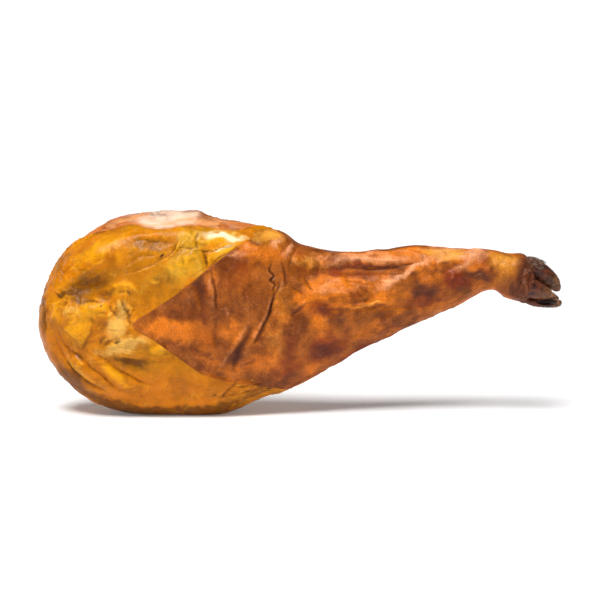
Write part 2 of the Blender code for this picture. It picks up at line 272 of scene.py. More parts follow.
RIND_STROKES = (
    (((-123, 212), (-118, 188), (-114, 164), (-113, 146)), 1.4, -1.9, -1.4),
    (((-113, 148), (-114, 118), (-112, 86)), 3.0, -1.1, 0.4),
    (((-38, 214), (-41, 203), (-36, 196), (-40, 190), (-33, 184), (-35, 178), (-31, 172)), 1.3, -2.6, -1.8),
    (((-33, 176), (-37, 160), (-46, 138), (-55, 120), (-65, 102)), 1.6, -2.2, -2.8),
    (((-41, 158), (-48, 142), (-57, 124), (-66, 108)), 2.4, 1.6, 0.0),
    (((-29, 190), (-27, 180), (-31, 170)), 1.4, -2.0, 0.0),
    (((-27, 219), (-21, 200), (-20, 174)), 1.8, -1.4, -1.4),
    (((-66, 138), (-76, 121), (-90, 100), (-101, 83), (-109, 66)), 3.2, 2.4, -2.0),
    (((-60, 134), (-70, 114), (-80, 98), (-88, 80), (-92, 60)), 4.4, -2.6, 0.6),
    (((-78, 75), (-70, 79), (-60, 85)), 2.0, -1.3, 0.6),
    (((-101, 158), (-97, 150), (-95, 141)), 2.4, 1.2, 0.0),
    (((-16, 142), (-14, 128), (-15, 113)), 1.8, -1.0, 0.4),
    (((-12, 236), (-18, 226), (-24, 216)), 3.0, 2.4, 0.0),
    (((-4, 230), (-12, 218), (-17, 208)), 2.6, -1.6, 0.0),
    (((-13, 193), (0, 184), (14, 171)), 2.6, 1.5, 0.0),
    (((3, 194), (12, 183), (20, 172)), 2.2, -1.5, 0.0),
    (((-18, 182), (-4, 176), (10, 168)), 2.0, -1.1, 0.0),
    (((14, 164), (-2, 155), (-18, 146)), 2.4, 1.3, 0.0),
    (((10, 158), (-4, 149), (-16, 140)), 2.2, -1.1, 0.0),
    (((24, 168), (44, 180), (66, 188)), 6.0, 2.2, 0.0),
    (((30, 160), (46, 150), (60, 152)), 3.0, -1.1, 0.0),
    (((46, 207), (96, 204), (126, 206), (153, 211), (176, 215)), 3.4, -2.8, 1.6),
    (((20, 205), (46, 204), (70, 203)), 4.0, -1.6, 0.6),
    (((52, 195), (80, 192), (108, 190)), 3.0, -1.1, 0.4),
    (((60, 187), (84, 183), (104, 181)), 2.2, -0.7, 0.3),
    (((105, 174), (128, 184), (150, 197), (172, 208)), 5.5, 2.6, 0.0),
    (((110, 164), (134, 170), (156, 183), (176, 196)), 3.6, -1.5, 0.0),
    (((64, 152), (94, 157), (126, 158)), 1.8, 1.6, 0.9),
    (((60, 146), (94, 151), (122, 153)), 2.6, -1.0, 0.0),
    (((176, 214), (188, 203), (186, 196)), 3.0, -1.3, 0.6),
    (((184, 196), (204, 202), (222, 212)), 3.4, -1.3, 0.8),
    (((196, 176), (206, 188), (210, 198)), 3.6, 1.6, 0.0),
    (((236, 226), (232, 214), (226, 204)), 3.6, 1.4, 0.0),
    (((262, 222), (266, 208), (262, 196)), 4.0, -1.0, 0.6),
    (((252, 204), (240, 194), (228, 190)), 3.0, -1.2, 0.0),
    (((284, 214), (292, 206), (294, 196)), 2.6, -0.8, 0.4),
    (((276, 206), (282, 196), (280, 184)), 2.4, -0.7, 0.3),
    (((301, 192), (310, 201), (320, 208)), 1.3, 1.1, 0.0),
    (((305, 196), (302, 184), (299, 170)), 2.0, -1.8, 0.8),
    (((309, 206), (314, 196), (311, 186), (315, 174)), 1.2, -1.5, 0.8),
    (((297, 190), (306, 180), (308, 166)), 1.4, -1.2, 0.7),
    (((290, 176), (298, 168), (306, 163)), 1.8, -1.0, 0.5),
    (((312, 207), (304, 198), (296, 186)), 2.0, -1.2, 0.0),
    (((-150, 200), (-136, 180), (-132, 156)), 8.0, -2.0, 0.0),
    (((-90, 214), (-64, 222), (-42, 222)), 4.0, 1.3, 0.8),
    (((-70, 240), (-52, 236), (-38, 240)), 3.4, -1.3, 0.6),
    (((-56, 252), (-44, 246), (-30, 246)), 3.0, -1.2, 0.8),
    (((30, 88), (60, 106), (96, 122)), 5.0, -1.0, 0.0),
    (((90, 128), (124, 138), (160, 148)), 4.0, 1.0, 0.0),
)
RIND_BUMPS = (
    (-165, 125, 34, 14, -8, 1.6), (22, 180, 18, 10, 25, 1.8), (-60, 232, 16, 8, -10, 1.8),
    (-30, 254, 9, 6, -10, 2.2),
    (-12, 224, 9, 9, 0, 1.6), (38, 96, 22, 14, 28, -1.6), (162, 170, 14, 12, 0, -1.6),
    (244, 228, 9, 7, 0, 2.2),
    (212, 190, 10, 9, 0, 1.4), (152, 156, 24, 9, 20, -1.2), (244, 200, 9, 7, 0, -1.2),
    (-133, 184, 9, 24, 8, -1.8),
    (-76, 170, 26, 30, 0, 1.4), (-28, 130, 16, 26, 10, 1.4), (-120, 100, 24, 16, 0, 1.2),
    (5, 120, 20, 22, 0, 1.2),
    (80, 136, 30, 12, 20, 1.2), (60, 220, 30, 5, 0, 1.2), (282, 200, 14, 12, 0, 1.2),
    (-36, 226, 12, 7, 0, 1.2),
)

# ---------------------------------------------------------------------------------------------
# Colour patches of the outer side: (x, height, radius along, radius across, turn, strength)
# ---------------------------------------------------------------------------------------------

FAT_PATCHES = {
    # Gold and pale are partly the fat's own colour and partly painted highlights, on the glossy band at
    # (-108, 247) and (-104, 229).
    "gold": (
        (-277, 152, 20, 13, 10, 1.0), (-300, 128, 15, 17, 0, 0.8), (-108, 247, 34, 10, -4, 0.7),
        (-270, 232, 40, 9, 32, 0.7), (-104, 229, 16, 5, 20, 0.8), (-190, 98, 16, 10, 0, 0.8),
        (-330, 150, 10, 16, 0, 0.5), (-240, 182, 20, 8, 0, 0.5), (-250, 62, 26, 6, -34, 0.7),
        (-300, 66, 24, 6, -38, 0.6), (-150, 216, 12, 12, 0, 0.5),
    ),
    "pale": (
        (-248, 127, 13, 14, 0, 0.8), (-236, 102, 32, 8, 18, 0.9), (-106, 247, 24, 5, -3, 0.8),
        (-307, 149, 12, 6, 0, 0.5), (-240, 153, 10, 14, 0, 0.4), (-90, 250, 14, 6, 0, 0.4),
    ),
    "straw": (
        (-158, 212, 26, 20, 42, 0.8), (-150, 246, 14, 13, 0, 0.8), (-112, 249, 30, 10, -4, 0.8),
        (-104, 228, 16, 6, 20, 0.7), (-205, 188, 26, 10, 38, 0.35), (-136, 214, 9, 14, 20, 0.5),
    ),
    # Painted highlights: small white glints painted on the glossy band near the upper edge.
    "painted_glint": (
        (-108, 248, 26, 4, -3, 0.9), (-90, 244, 12, 3, 6, 0.5), (-104, 233, 14, 1.4, 18, 0.6),
        (-128, 254, 10, 1.8, 0, 0.5),
    ),
    # Olive is partly the membrane's own tint and partly painted shade, as in the hollow at (-287, 184).
    "olive": (
        (-287, 184, 30, 17, 20, 1.0), (-172, 200, 40, 16, 38, 0.6), (-226, 80, 26, 9, -12, 0.8),
        (-200, 240, 30, 7, -6, 0.7), (-250, 206, 34, 14, 10, 0.5), (-200, 168, 22, 10, 20, 0.4),
        (-262, 112, 8, 6, 0, 0.6),
    ),
    "amber": (
        (-262, 60, 60, 22, -32, 0.8), (-150, 44, 90, 24, 0, 0.8), (-196, 246, 46, 9, -4, 0.7),
        (-328, 90, 20, 45, 20, 0.9),
        (-340, 190, 14, 40, -30, 0.6), (-245, 212, 30, 12, 12, 0.4), (-70, 46, 40, 10, 15, 0.5),
    ),
    # Brown is partly dried fat and partly painted shade: in the hollows at (-284, 187) and (-312, 171) and
    # along the bottom near the ground.
    "brown": (
        (-284, 187, 25, 11, 14, 0.75), (-312, 171, 17, 4, 4, 0.8), (-262, 176, 18, 6, 10, 0.4),
        (-232, 83, 30, 5, -10, 0.5), (-318, 52, 26, 20, -45, 0.9), (-266, 20, 46, 10, -18, 1.0),
        (-190, 8, 70, 6, 0, 0.9), (-352, 150, 6, 44, 0, 0.8),
        (-60, 34, 34, 7, 22, 0.6), (-322, 214, 6, 26, -30, 0.5), (-120, 12, 50, 6, 6, 0.6),
        (-300, 164, 10, 5, 0, 0.6),
        (-194, 233, 16, 3, -5, 0.5),
    ),
    "soot": (
        (-186, 225, 3.4, 1.8, 30, 1.2), (-245, 109, 4.8, 1.9, 22, 1.2), (-267, 157, 1.5, 1.5, 0, 1.3),
        (-117, 33, 2.4, 1.4, 10, 1.1), (-105, 30, 2.6, 1.3, 40, 1.0), (-42, 39, 5.0, 1.4, 12, 1.1),
        (-216, 31, 2, 1, 0, 0.6),
    ),
}
RIND_PATCHES = {
    "glow": (
        (-160, 124, 42, 13, -8, 1.0), (24, 178, 32, 12, 25, 1.2), (30, 170, 26, 7, 18, 0.9),
        (196, 222, 50, 10, 0, 0.6), (94, 156, 36, 5, 4, 1.0), (58, 184, 34, 12, 8, 0.7),
        (-56, 228, 38, 12, -14, 0.8), (120, 220, 60, 6, 0, 0.6), (-20, 70, 50, 12, 22, 0.4),
        (90, 118, 44, 12, 26, 0.5),
        (-60, 78, 34, 14, 10, 0.8), (-88, 128, 12, 26, 30, 0.4), (20, 132, 12, 12, 0, 0.4),
        (195, 155, 24, 8, 25, 0.4), (-190, 128, 20, 14, 0, 0.5),
    ),
    "yellow": (
        (278, 214, 26, 14, -14, 0.65), (8, 214, 26, 7, -4, 0.4), (152, 200, 22, 7, 28, 0.3),
        (280, 190, 15, 18, 0, 0.35), (-30, 252, 15, 7, -12, 0.9),
        (200, 226, 34, 8, 0, 1.0), (96, 155, 26, 1.8, 4, 0.9), (196, 220, 20, 8, 0, 0.6),
        (-48, 250, 28, 11, -14, 1.0),
        (-36, 112, 14, 22, 0, 0.3), (-24, 160, 12, 22, 0, 0.3),
    ),
    "red": (
        (32, 150, 22, 10, 0, 0.7), (-124, 118, 16, 16, 0, 0.4), (38, 94, 28, 15, 28, 1.0),
        (-13, 100, 12, 20, 0, 0.6), (-18, 66, 26, 9, 22, 0.6),
        (212, 190, 16, 12, 0, 0.9), (95, 205, 54, 4, 0, 0.7), (170, 162, 34, 14, 20, 0.6),
        (76, 84, 44, 8, 28, 0.8),
        (250, 216, 9, 16, 0, 0.7), (40, 200, 24, 6, 0, 0.5), (-84, 196, 30, 20, 0, 0.4),
        (78, 194, 34, 4, -4, 0.6),
        (228, 184, 18, 10, 0, 0.6),
    ),
    # Dark is mostly the rind's and the foot's own colour; the patch at (-134, 184) beside the first crease
    # is painted shade.
    "dark": (
        (168, 172, 16, 13, 0, 1.0), (146, 136, 26, 9, 26, 0.6), (244, 195, 22, 8, 0, 1.0),
        (310, 182, 15, 26, 0, 1.0),
        (30, 92, 22, 9, 28, 0.6), (-84, 92, 5, 20, -24, 0.6), (110, 205, 50, 2.2, 3, 0.8),
        (290, 177, 15, 14, 0, 0.55), (308, 174, 13, 18, 0, 0.8),
        (54, 134, 13, 16, 0, 0.4), (-134, 184, 9, 26, 8, 0.6), (184, 172, 12, 10, 0, 0.5),
        (228, 174, 12, 10, 0, 0.5),
        (318, 200, 10, 12, 0, 0.8), (46, 88, 18, 8, 28, 0.5), (34, 148, 12, 7, 0, 0.5),
        (-80, 80, 12, 14, 20, 0.3),
    ),
    # The rose tint is partly the skin's own colour, as on the hock, and partly painted highlights along the
    # shank's ridges, the tendon and small folds.
    "rosy_and_highlight": (
        (242, 222, 15, 10, 0, 1.0), (92, 217, 64, 7, 0, 0.65),
        (150, 199, 22, 4, 32, 0.9), (186, 214, 24, 5, 10, 0.4), (196, 226, 26, 6, 0, 0.4),
        (126, 186, 22, 7, 28, 0.7), (40, 184, 20, 7, 20, 0.4),
        (-16, 227, 2.6, 9, -32, 0.8), (-34, 238, 9, 4, 10, 0.8), (226, 206, 14, 6, 30, 0.6),
        (312, 202, 8, 1.4, 42, 0.45),
        (-92, 226, 10, 3, 10, 0.6), (56, 176, 26, 5, 8, 0.4),
    ),
}

HAIRY_SKIN = ((330, 208, 13, 9, -30, 1.0),)

# ---------------------------------------------------------------------------------------------
# Claws: name, centre line from root to tip as (x, y, z), then half height and half depth there
# ---------------------------------------------------------------------------------------------

CLAWS = {
    "main_claw_upper": (
        ((306, 10, 205), (322, 10.5, 201), (339, 10.5, 189), (351, 10, 179), (357.5, 9, 172)),
        (12, 13.5, 14, 11, 5), (11, 12, 12.5, 9.5, 5),
    ),
    "main_claw_lower": (
        ((300, -12, 179), (312, -13.5, 177), (325, -14.5, 172.5), (338, -14, 168.5), (350, -12.5, 164.5)),
        (14, 14.5, 12.5, 8.5, 2.5), (10.5, 12, 11.5, 9, 3),
    ),
    "dew_claw_far": (
        ((308, 12, 169), (322, 12.5, 167), (338, 12.5, 165), (350, 11, 161), (357, 10, 158)),
        (6, 7, 7.5, 5.5, 3), (7, 8, 8, 6, 3.5),
    ),
    "dew_claw_near": (
        ((311, -8, 157.5), (322, -9, 155), (338, -9.5, 154.2), (352, -9.5, 154), (358, -9, 154)),
        (3.5, 5.4, 6.2, 6, 4.2), (6, 9.5, 11, 9, 5),
    ),
}
CLAW_SQUARENESS = 2.5
CLAW_TIP_SHARE = 0.06
RING_TURNS = 60
RING_WANDER = 2.0
CLAW_ROWS = 90
CLAW_COLUMNS = 64
SCOOPED_CLAW = "dew_claw_near"
SCOOP_CENTRE = np.array((341.0, -21.0, 157.5))
SCOOP_RADII = np.array((17.0, 9.0, 5.0))
SCOOP_TILT = math.radians(-18)

# Rows and columns of the two large surfaces, kept under 200,000 triangles each.
FAT_ROWS = 318
RIND_ROWS = 292
COLUMNS = 300
OUTER_CROWDING = 0.35
HIDDEN_ROWS = 5


def smooth(table, x):
    """Cubic Hermite curve through the table's points, with slopes from the neighbouring points."""
    xs, ys = np.array(table, float).T
    slopes = np.gradient(ys, xs)
    x = np.clip(x, xs[0], xs[-1])
    i = np.clip(np.searchsorted(xs, x) - 1, 0, len(xs) - 2)
    step = xs[i + 1] - xs[i]
    t = (x - xs[i]) / step
    return (
        ys[i] * (1 + 2 * t) * (1 - t) ** 2
        + ys[i + 1] * t**2 * (3 - 2 * t)
        + step * (slopes[i] * t * (1 - t) ** 2 - slopes[i + 1] * t**2 * (1 - t))
    )


def ramp(low, high, x):
    """0 below low, 1 above high, and a smooth step 3t^2 - 2t^3 between them."""
    t = np.clip((x - low) / (high - low), 0, 1)
    return t * t * (3 - 2 * t)


def dome(distance, length, fullness):
    """The share of a full section left past the start of a round end: (1 - s^f)^(1/f)."""
    share = np.clip(distance / length, 0, 1)
    return (1 - share**fullness) ** (1 / fullness)


def section(x, angles):
    """(y, z) around the leg at station x: a superellipse between the edges, swollen, then trimmed."""
    upper, lower = smooth(UPPER_EDGE, x), smooth(LOWER_EDGE, x)
    left = dome(BUTT_X + BUTT_DOME - x, BUTT_DOME, BUTT_FULLNESS)
    right = dome(x - (TOE_X - TOE_DOME), TOE_DOME, TOE_FULLNESS)
    middle = (upper + lower) / 2
    half_height = (upper - lower) / 2 * left * right
    half_depth = smooth(HALF_DEPTH, x) * left**BUTT_DEPTH_POWER * right
    thigh = 1 - ramp(*THIGH_ENDS_X, x)
    across, up = np.cos(angles), np.sin(angles)
    squareness = OUTER_SQUARENESS + (INNER_SQUARENESS - OUTER_SQUARENESS) * (1 + across) / 2
    squareness = SHANK_SQUARENESS + (squareness - SHANK_SQUARENESS) * thigh
    reach = (np.abs(across) ** squareness + np.abs(up) ** squareness) ** (-1 / squareness)
    y = half_depth * reach * across + smooth(MID_DEPTH, x)
    z = half_height * reach * up + middle
    y, z = swollen(x, y, z, across, up)
    return y, trimmed(x, y, z, middle + (upper - middle) * left)


def swollen(x, y, z, across, up):
    """Adds each swelling: its rise times a Gaussian of (x, z), along the section's outward direction."""
    rise = np.zeros_like(y)
    for cx, cz, side, rx, rz, height in SWELLINGS:
        facing = np.clip(side * across * SWELLING_FACING, 0, 1)
        rise += height * facing * np.exp(-(((x - cx) / rx) ** 2) - ((z - cz) / rz) ** 2)
    return y + rise * across, z + rise * up


def trimmed(x, y, z, crest):
    """Height after the trim: a soft minimum of z and the plane that falls towards the outer side."""
    plane = crest - TRIM_DROP - TRIM_SLOPE * (TRIM_CREST_DEPTH - y)
    over = TRIM_SOFTNESS * np.logaddexp(0, (z - plane) / TRIM_SOFTNESS)
    return z - over * (1 - ramp(*TRIM_FADES_X, x))


def around():
    """Angles around the leg, t + c sin t for even t, so that they crowd on the outer side."""
    even = np.linspace(0, 2 * np.pi, COLUMNS, endpoint=False)
    return even + OUTER_CROWDING * np.sin(even)


def leg_points(x, angles):
    """The leg's surface: the section's points at each station x and angle, as (rows, columns, 3)."""
    y, z = section(x, angles)
    return np.stack(np.broadcast_arrays(x, y, z), axis=-1)


def outward(points):
    """Unit normals of a grid closed across its columns: the cross product of its two differences."""
    along = np.gradient(points, axis=0)
    across = np.roll(points, -1, axis=1) - np.roll(points, 1, axis=1)
    normal = np.cross(across, along)
    return normal / np.maximum(np.linalg.norm(normal, axis=-1, keepdims=True), 1e-9)


# ---------------------------------------------------------------------------------------------
# Fields that shape and colour the surfaces; each noise takes a size in mm and a seed of its own
# ---------------------------------------------------------------------------------------------

NOISE_VALUES = 4096
HASH_FACTORS = (73856093, 19349663, 83492791)


def noise(points, size, seed):
    """Value noise in -1..1: random values on a cubic lattice, blended by 6t^5 - 15t^4 + 10t^3."""
    values = np.random.default_rng(seed).uniform(-1, 1, NOISE_VALUES)
    place = points / size
    cell = np.floor(place).astype(np.int64)
    t = place - cell
    t = t * t * t * (t * (t * 6 - 15) + 10)
    total = np.zeros(points.shape[:-1])
    for corner in itertools.product((0, 1), repeat=3):
        spot = cell + corner
        mixed = np.bitwise_xor.reduce(spot * HASH_FACTORS, axis=-1) & (NOISE_VALUES - 1)
        total += values[mixed] * np.prod(np.where(corner, t, 1 - t), axis=-1)
    return total


def fractal(points, size, octaves, seed):
    """A sum of value noise: each octave has half the size and half the strength of the one before."""
    layers = [noise(points, size / 2**k, seed + k) / 2**k for k in range(octaves)]
    return sum(layers) / (2 - 2 ** (1 - octaves))


def wrinkles(points, size, warp, seed):
    """Sharp-crested folds in 0..1: (1 - |noise|)^4 of points that a slower noise pushes about."""
    push = np.stack([noise(points, size * 1.7, seed + k) for k in (1, 2, 3)], axis=-1)
    return (1 - np.abs(noise(points + warp * push, size, seed))) ** 4


def near_line(x, z, points):
    """Signed distance from a smooth line (left is positive) and the share along it, at each place."""
    stations = np.linspace(0, 1, len(points))
    dense = np.linspace(0, 1, 8 * len(points))
    line_x, line_z = (smooth(tuple(zip(stations, column)), dense) for column in zip(*points))
    best = np.full(x.shape, np.inf)
    side = np.zeros(x.shape)
    share = np.zeros(x.shape)
    for k in range(len(dense) - 1):
        step_x, step_z = line_x[k + 1] - line_x[k], line_z[k + 1] - line_z[k]
        from_x, from_z = x - line_x[k], z - line_z[k]
        t = np.clip((from_x * step_x + from_z * step_z) / (step_x**2 + step_z**2), 0, 1)
        distance = np.hypot(from_x - t * step_x, from_z - t * step_z)
        nearer = distance < best
        best = np.where(nearer, distance, best)
        side = np.where(nearer, step_x * from_z - step_z * from_x, side)
        share = np.where(nearer, dense[k] + t * (dense[k + 1] - dense[k]), share)
    return best * np.sign(side), share


STROKE_REACH = 6.0
LIP_SHARPNESS = 0.5
LIP_LENGTH = 2.2
TAPER = 5.0


def strokes(x, z, table):
    """Sum of ridges and grooves: rise * exp(-(d/w)^2) + lip * tanh(2d/w) * exp(-|d|/(2.2 w))."""
    height = np.zeros(x.shape)
    for points, width, rise, lip in table:
        xs, zs = zip(*points)
        reach = STROKE_REACH * width
        near = (x > min(xs) - reach) & (x < max(xs) + reach) & (z > min(zs) - reach) & (z < max(zs) + reach)
        distance, share = near_line(x[near], z[near], points)
        ends = np.clip(TAPER * share * (1 - share), 0, 1)
        fold = np.tanh(distance / (LIP_SHARPNESS * width))
        fold *= np.exp(-np.abs(distance) / (LIP_LENGTH * width))
        height[near] += ends * (rise * np.exp(-((distance / width) ** 2)) + lip * fold)
    return height


def spots(x, z, table, power=2.0):
    """Sum of strength * exp(-q^power), where q is the distance in each turned ellipse's radii."""
    total = np.zeros(x.shape)
    for cx, cz, along, across, turn, strength in table:
        cos, sin = math.cos(math.radians(turn)), math.sin(math.radians(turn))
        u = ((x - cx) * cos + (z - cz) * sin) / along
        v = ((z - cz) * cos - (x - cx) * sin) / across
        total += strength * np.exp(-(np.hypot(u, v) ** power))
    return total


def flaps(x, z, table):
    """Raised polygons: rise * smooth step of the distance inside the outline * exp(-(r/reach)^2)."""
    height = np.zeros(x.shape)
    for corners, softness, rise, tip, reach in table:
        outline = np.array(corners, float)
        melt = np.exp(-(np.hypot(x - tip[0], z - tip[1]) ** 2) / reach**2)
        inside = np.zeros(x.shape, bool)
        edge = np.full(x.shape, np.inf)
        for (ax, az), (bx, bz) in zip(outline, np.roll(outline, -1, axis=0)):
            step_x, step_z = bx - ax, bz - az
            t = np.clip(((x - ax) * step_x + (z - az) * step_z) / (step_x**2 + step_z**2), 0, 1)
            edge = np.minimum(edge, np.hypot(x - ax - t * step_x, z - az - t * step_z))
            if step_z:
                inside ^= ((az > z) != (bz > z)) & (x < ax + (z - az) * step_x / step_z)
        height += rise * melt * ramp(-softness, softness, np.where(inside, edge, -edge))
    return height


def blurred(field, passes):
    """The field averaged with its four neighbours, several times, on a grid closed across columns."""
    for _ in range(passes):
        padded = np.pad(field, ((1, 1), (0, 0)), mode="edge")
        field = (
            2 * field + padded[:-2] + padded[2:] + np.roll(field, 1, axis=1) + np.roll(field, -1, axis=1)
        ) / 6
    return field


def hollowness(height, passes, depth):
    """0..1 where the relief lies lower than its surroundings by up to the given depth."""
    return np.clip((blurred(height, passes) - height) / depth, 0, 1)


def facing_out(angles):
    """1 on the outer side and 0 on the inner side, with a smooth step over the crest and the base."""
    return ramp(*OUTER_FACING, -np.cos(angles))


def rind_edge(angles):
    """Station x of the rind's edge at each angle."""
    return smooth(RIND_EDGE, np.degrees(angles) % 360)


def lean_share(points, angles):
    """1 on the lean face, 0 on fat: inside its two border angles, with a border that wanders."""
    x = points[..., 0]
    degrees = np.degrees(angles) % 360
    degrees = np.where(degrees > 180, degrees - 360, degrees) + np.zeros_like(x)
    wander = LEAN_WANDER * fractal(points, 26, 3, 501)
    crisp, loose = LEAN_BORDERS
    upper = ramp(-crisp, crisp, smooth(LEAN_UPPER, x) - degrees + 0.9 * wander)
    lower = ramp(-loose, loose, degrees - smooth(LEAN_LOWER, x) + 3.2 * wander)
    (left_low, left_high), (right_low, right_high) = LEAN_ENDS_X
    return upper * lower * ramp(left_low, left_high, x) * (1 - ramp(right_low, right_high, x))


# ---------------------------------------------------------------------------------------------
# Meshes
# ---------------------------------------------------------------------------------------------


def surface(name, points, first, last, masks):
    """A closed mesh of a grid of points in mm: quads, and a fan to a pole past each end.

    Its map runs along the columns and the rows, and each mask becomes a point attribute.
    """
    rows, columns = points.shape[:2]
    corner = np.arange(rows * columns).reshape(rows, columns)
    right = np.roll(corner, -1, axis=1)
    quads = np.stack([corner[:-1], right[:-1], right[1:], corner[1:]], axis=-1).reshape(-1, 4)
    start = np.full(columns, rows * columns)
    fan_first = np.stack([start, right[0], corner[0]], axis=-1)
    fan_last = np.stack([start + 1, corner[-1], right[-1]], axis=-1)
    places = np.concatenate([points.reshape(-1, 3), [first], [last]])
    mesh = bpy.data.meshes.new(name)
    mesh.from_pydata(
        ((places - BOX_MIDDLE) * MM).tolist(), [], quads.tolist() + fan_first.tolist() + fan_last.tolist()
    )
    for mask, values in masks.items():
        attribute = mesh.attributes.new(mask, "FLOAT", "POINT")
        ends = [values[0].mean(), values[-1].mean()]
        attribute.data.foreach_set("value", np.concatenate([values.ravel(), ends]).astype(np.float32))
    mesh.uv_layers.new(name="OFBake").data.foreach_set("uv", grid_map(rows, columns))
    mesh.shade_smooth()
    return mesh


def grid_map(rows, columns):
    """Map places of each face corner: the column and the row as shares, in the order of the faces."""
    j, i = np.meshgrid(np.arange(columns), np.arange(rows - 1))
    u = np.stack([j, j + 1, j + 1, j], axis=-1) / columns
    v = (np.stack([i, i, i + 1, i + 1], axis=-1) + 1) / (rows + 1)
    column = np.arange(columns)
    fan_u = np.stack([column + 0.5, column + 1, column], axis=-1) / columns
    fan_v = np.tile((0.0, 1 / (rows + 1), 1 / (rows + 1)), (columns, 1))
    end_u = np.stack([column + 0.5, column, column + 1], axis=-1) / columns
    end_v = np.tile((1.0, rows / (rows + 1), rows / (rows + 1)), (columns, 1))
    us = np.concatenate([u.ravel(), fan_u.ravel(), end_u.ravel()])
    vs = np.concatenate([v.ravel(), fan_v.ravel(), end_v.ravel()])
    return np.column_stack([us, vs]).astype(np.float32).ravel()


def add_piece(name, mesh, material, slot, *nodes):
    """Makes the mesh a piece that rides on the ham and stands for the given solids."""
    mesh.materials.append(material)
    piece = bpy.data.objects.new(name, mesh)
    bpy.context.scene.collection.objects.link(piece)
    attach(piece, "root")
    if nodes:
        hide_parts(*nodes)
    return piece


def grounded(points):
    """Keeps a surface on the ground: nothing lies under height 0."""
    points[..., 2] = np.maximum(points[..., 2], 0.0)
    return points


def to_inside(points, target, count):
    """Rows that lead from the grid's last row straight towards a hidden point, closing the surface."""
    shares = np.linspace(0, 1, count + 1, endpoint=False)[1:, None, None]
    return points[-1] + shares * (np.array(target) - points[-1])


# ---------------------------------------------------------------------------------------------
# Fat and lean
# ---------------------------------------------------------------------------------------------

# The fat runs on under the rind by FAT_TUCK, and sinks by FAT_TUCK_DEPTH between two distances
# from the rind's edge.
FAT_TUCK = 14.0
FAT_TUCK_DEPTH = 4.6
FAT_TUCK_STARTS = 0.3
FAT_TUCK_ENDS = 5.0
FAT_POLE_ANGLE = 0.012
FAT_HIDDEN_POINT = (-60.0, 0.0, 140.0)
# Relief fades out between these heights, so that the flat resting spot stays flat.
GROUND_FADE_Z = (-2, 10)


def fat_relief(points, angles, lean, settings):
    """Height of folds, lumps and fibres over the plain leg, in mm.

    Strokes, bumps and flaps on the outer side, plus wrinkles, plus fibres on the lean face.
    """
    x, z = points[..., 0], points[..., 2]
    outer = facing_out(angles)
    crumple = np.clip(spots(x, z, CRUMPLES), 0, 1) * outer + 0.7 * (1 - outer)
    shift = 2.2 * noise(points, 18, 11)
    folds = strokes(x + shift, z + 2.2 * noise(points, 18, 12), FAT_STROKES)
    folds += 1.4 * spots(x, z, FAT_BUMPS)
    folds += flaps(x + 0.6 * shift, z + 1.3 * noise(points, 12, 13), FAT_FLAPS)
    broad = 2.0 * noise(points, 55, 21) + 1.1 * noise(points, 24, 22) + 0.45 * noise(points, 11, 23)
    sharp = 1.1 * wrinkles(points * (0.8, 1, 1), 30, 14, 31) - 0.2
    fine = 1.5 * wrinkles(points, 12, 8, 41) + 0.9 * wrinkles(points, 6, 5, 45) - 0.4
    fat = sharp * (0.5 + 0.5 * crumple) + (0.2 + 0.8 * crumple) * fine
    fibre = points * (0.16, 1, 1)
    meat = 0.8 * noise(fibre, 5, 51) + 0.5 * noise(fibre, 2.6, 52) + 1.3 * noise(points, 38, 53) - 0.8
    seams = 2.4 * wrinkles(points * (0.55, 1, 1), 34, 16, 54) + 0.9 * wrinkles(points, 13, 8, 55) - 0.8
    meat += (1 - outer) * seams
    border = np.exp(-(((lean - 0.5) / 0.35) ** 2))
    relief = folds * outer + broad + fat * (1 - lean) + meat * lean
    relief -= 0.9 * border * (0.6 + 0.4 * noise(points, 14, 61))
    return relief * settings.fold_depth * ramp(*GROUND_FADE_Z, z)


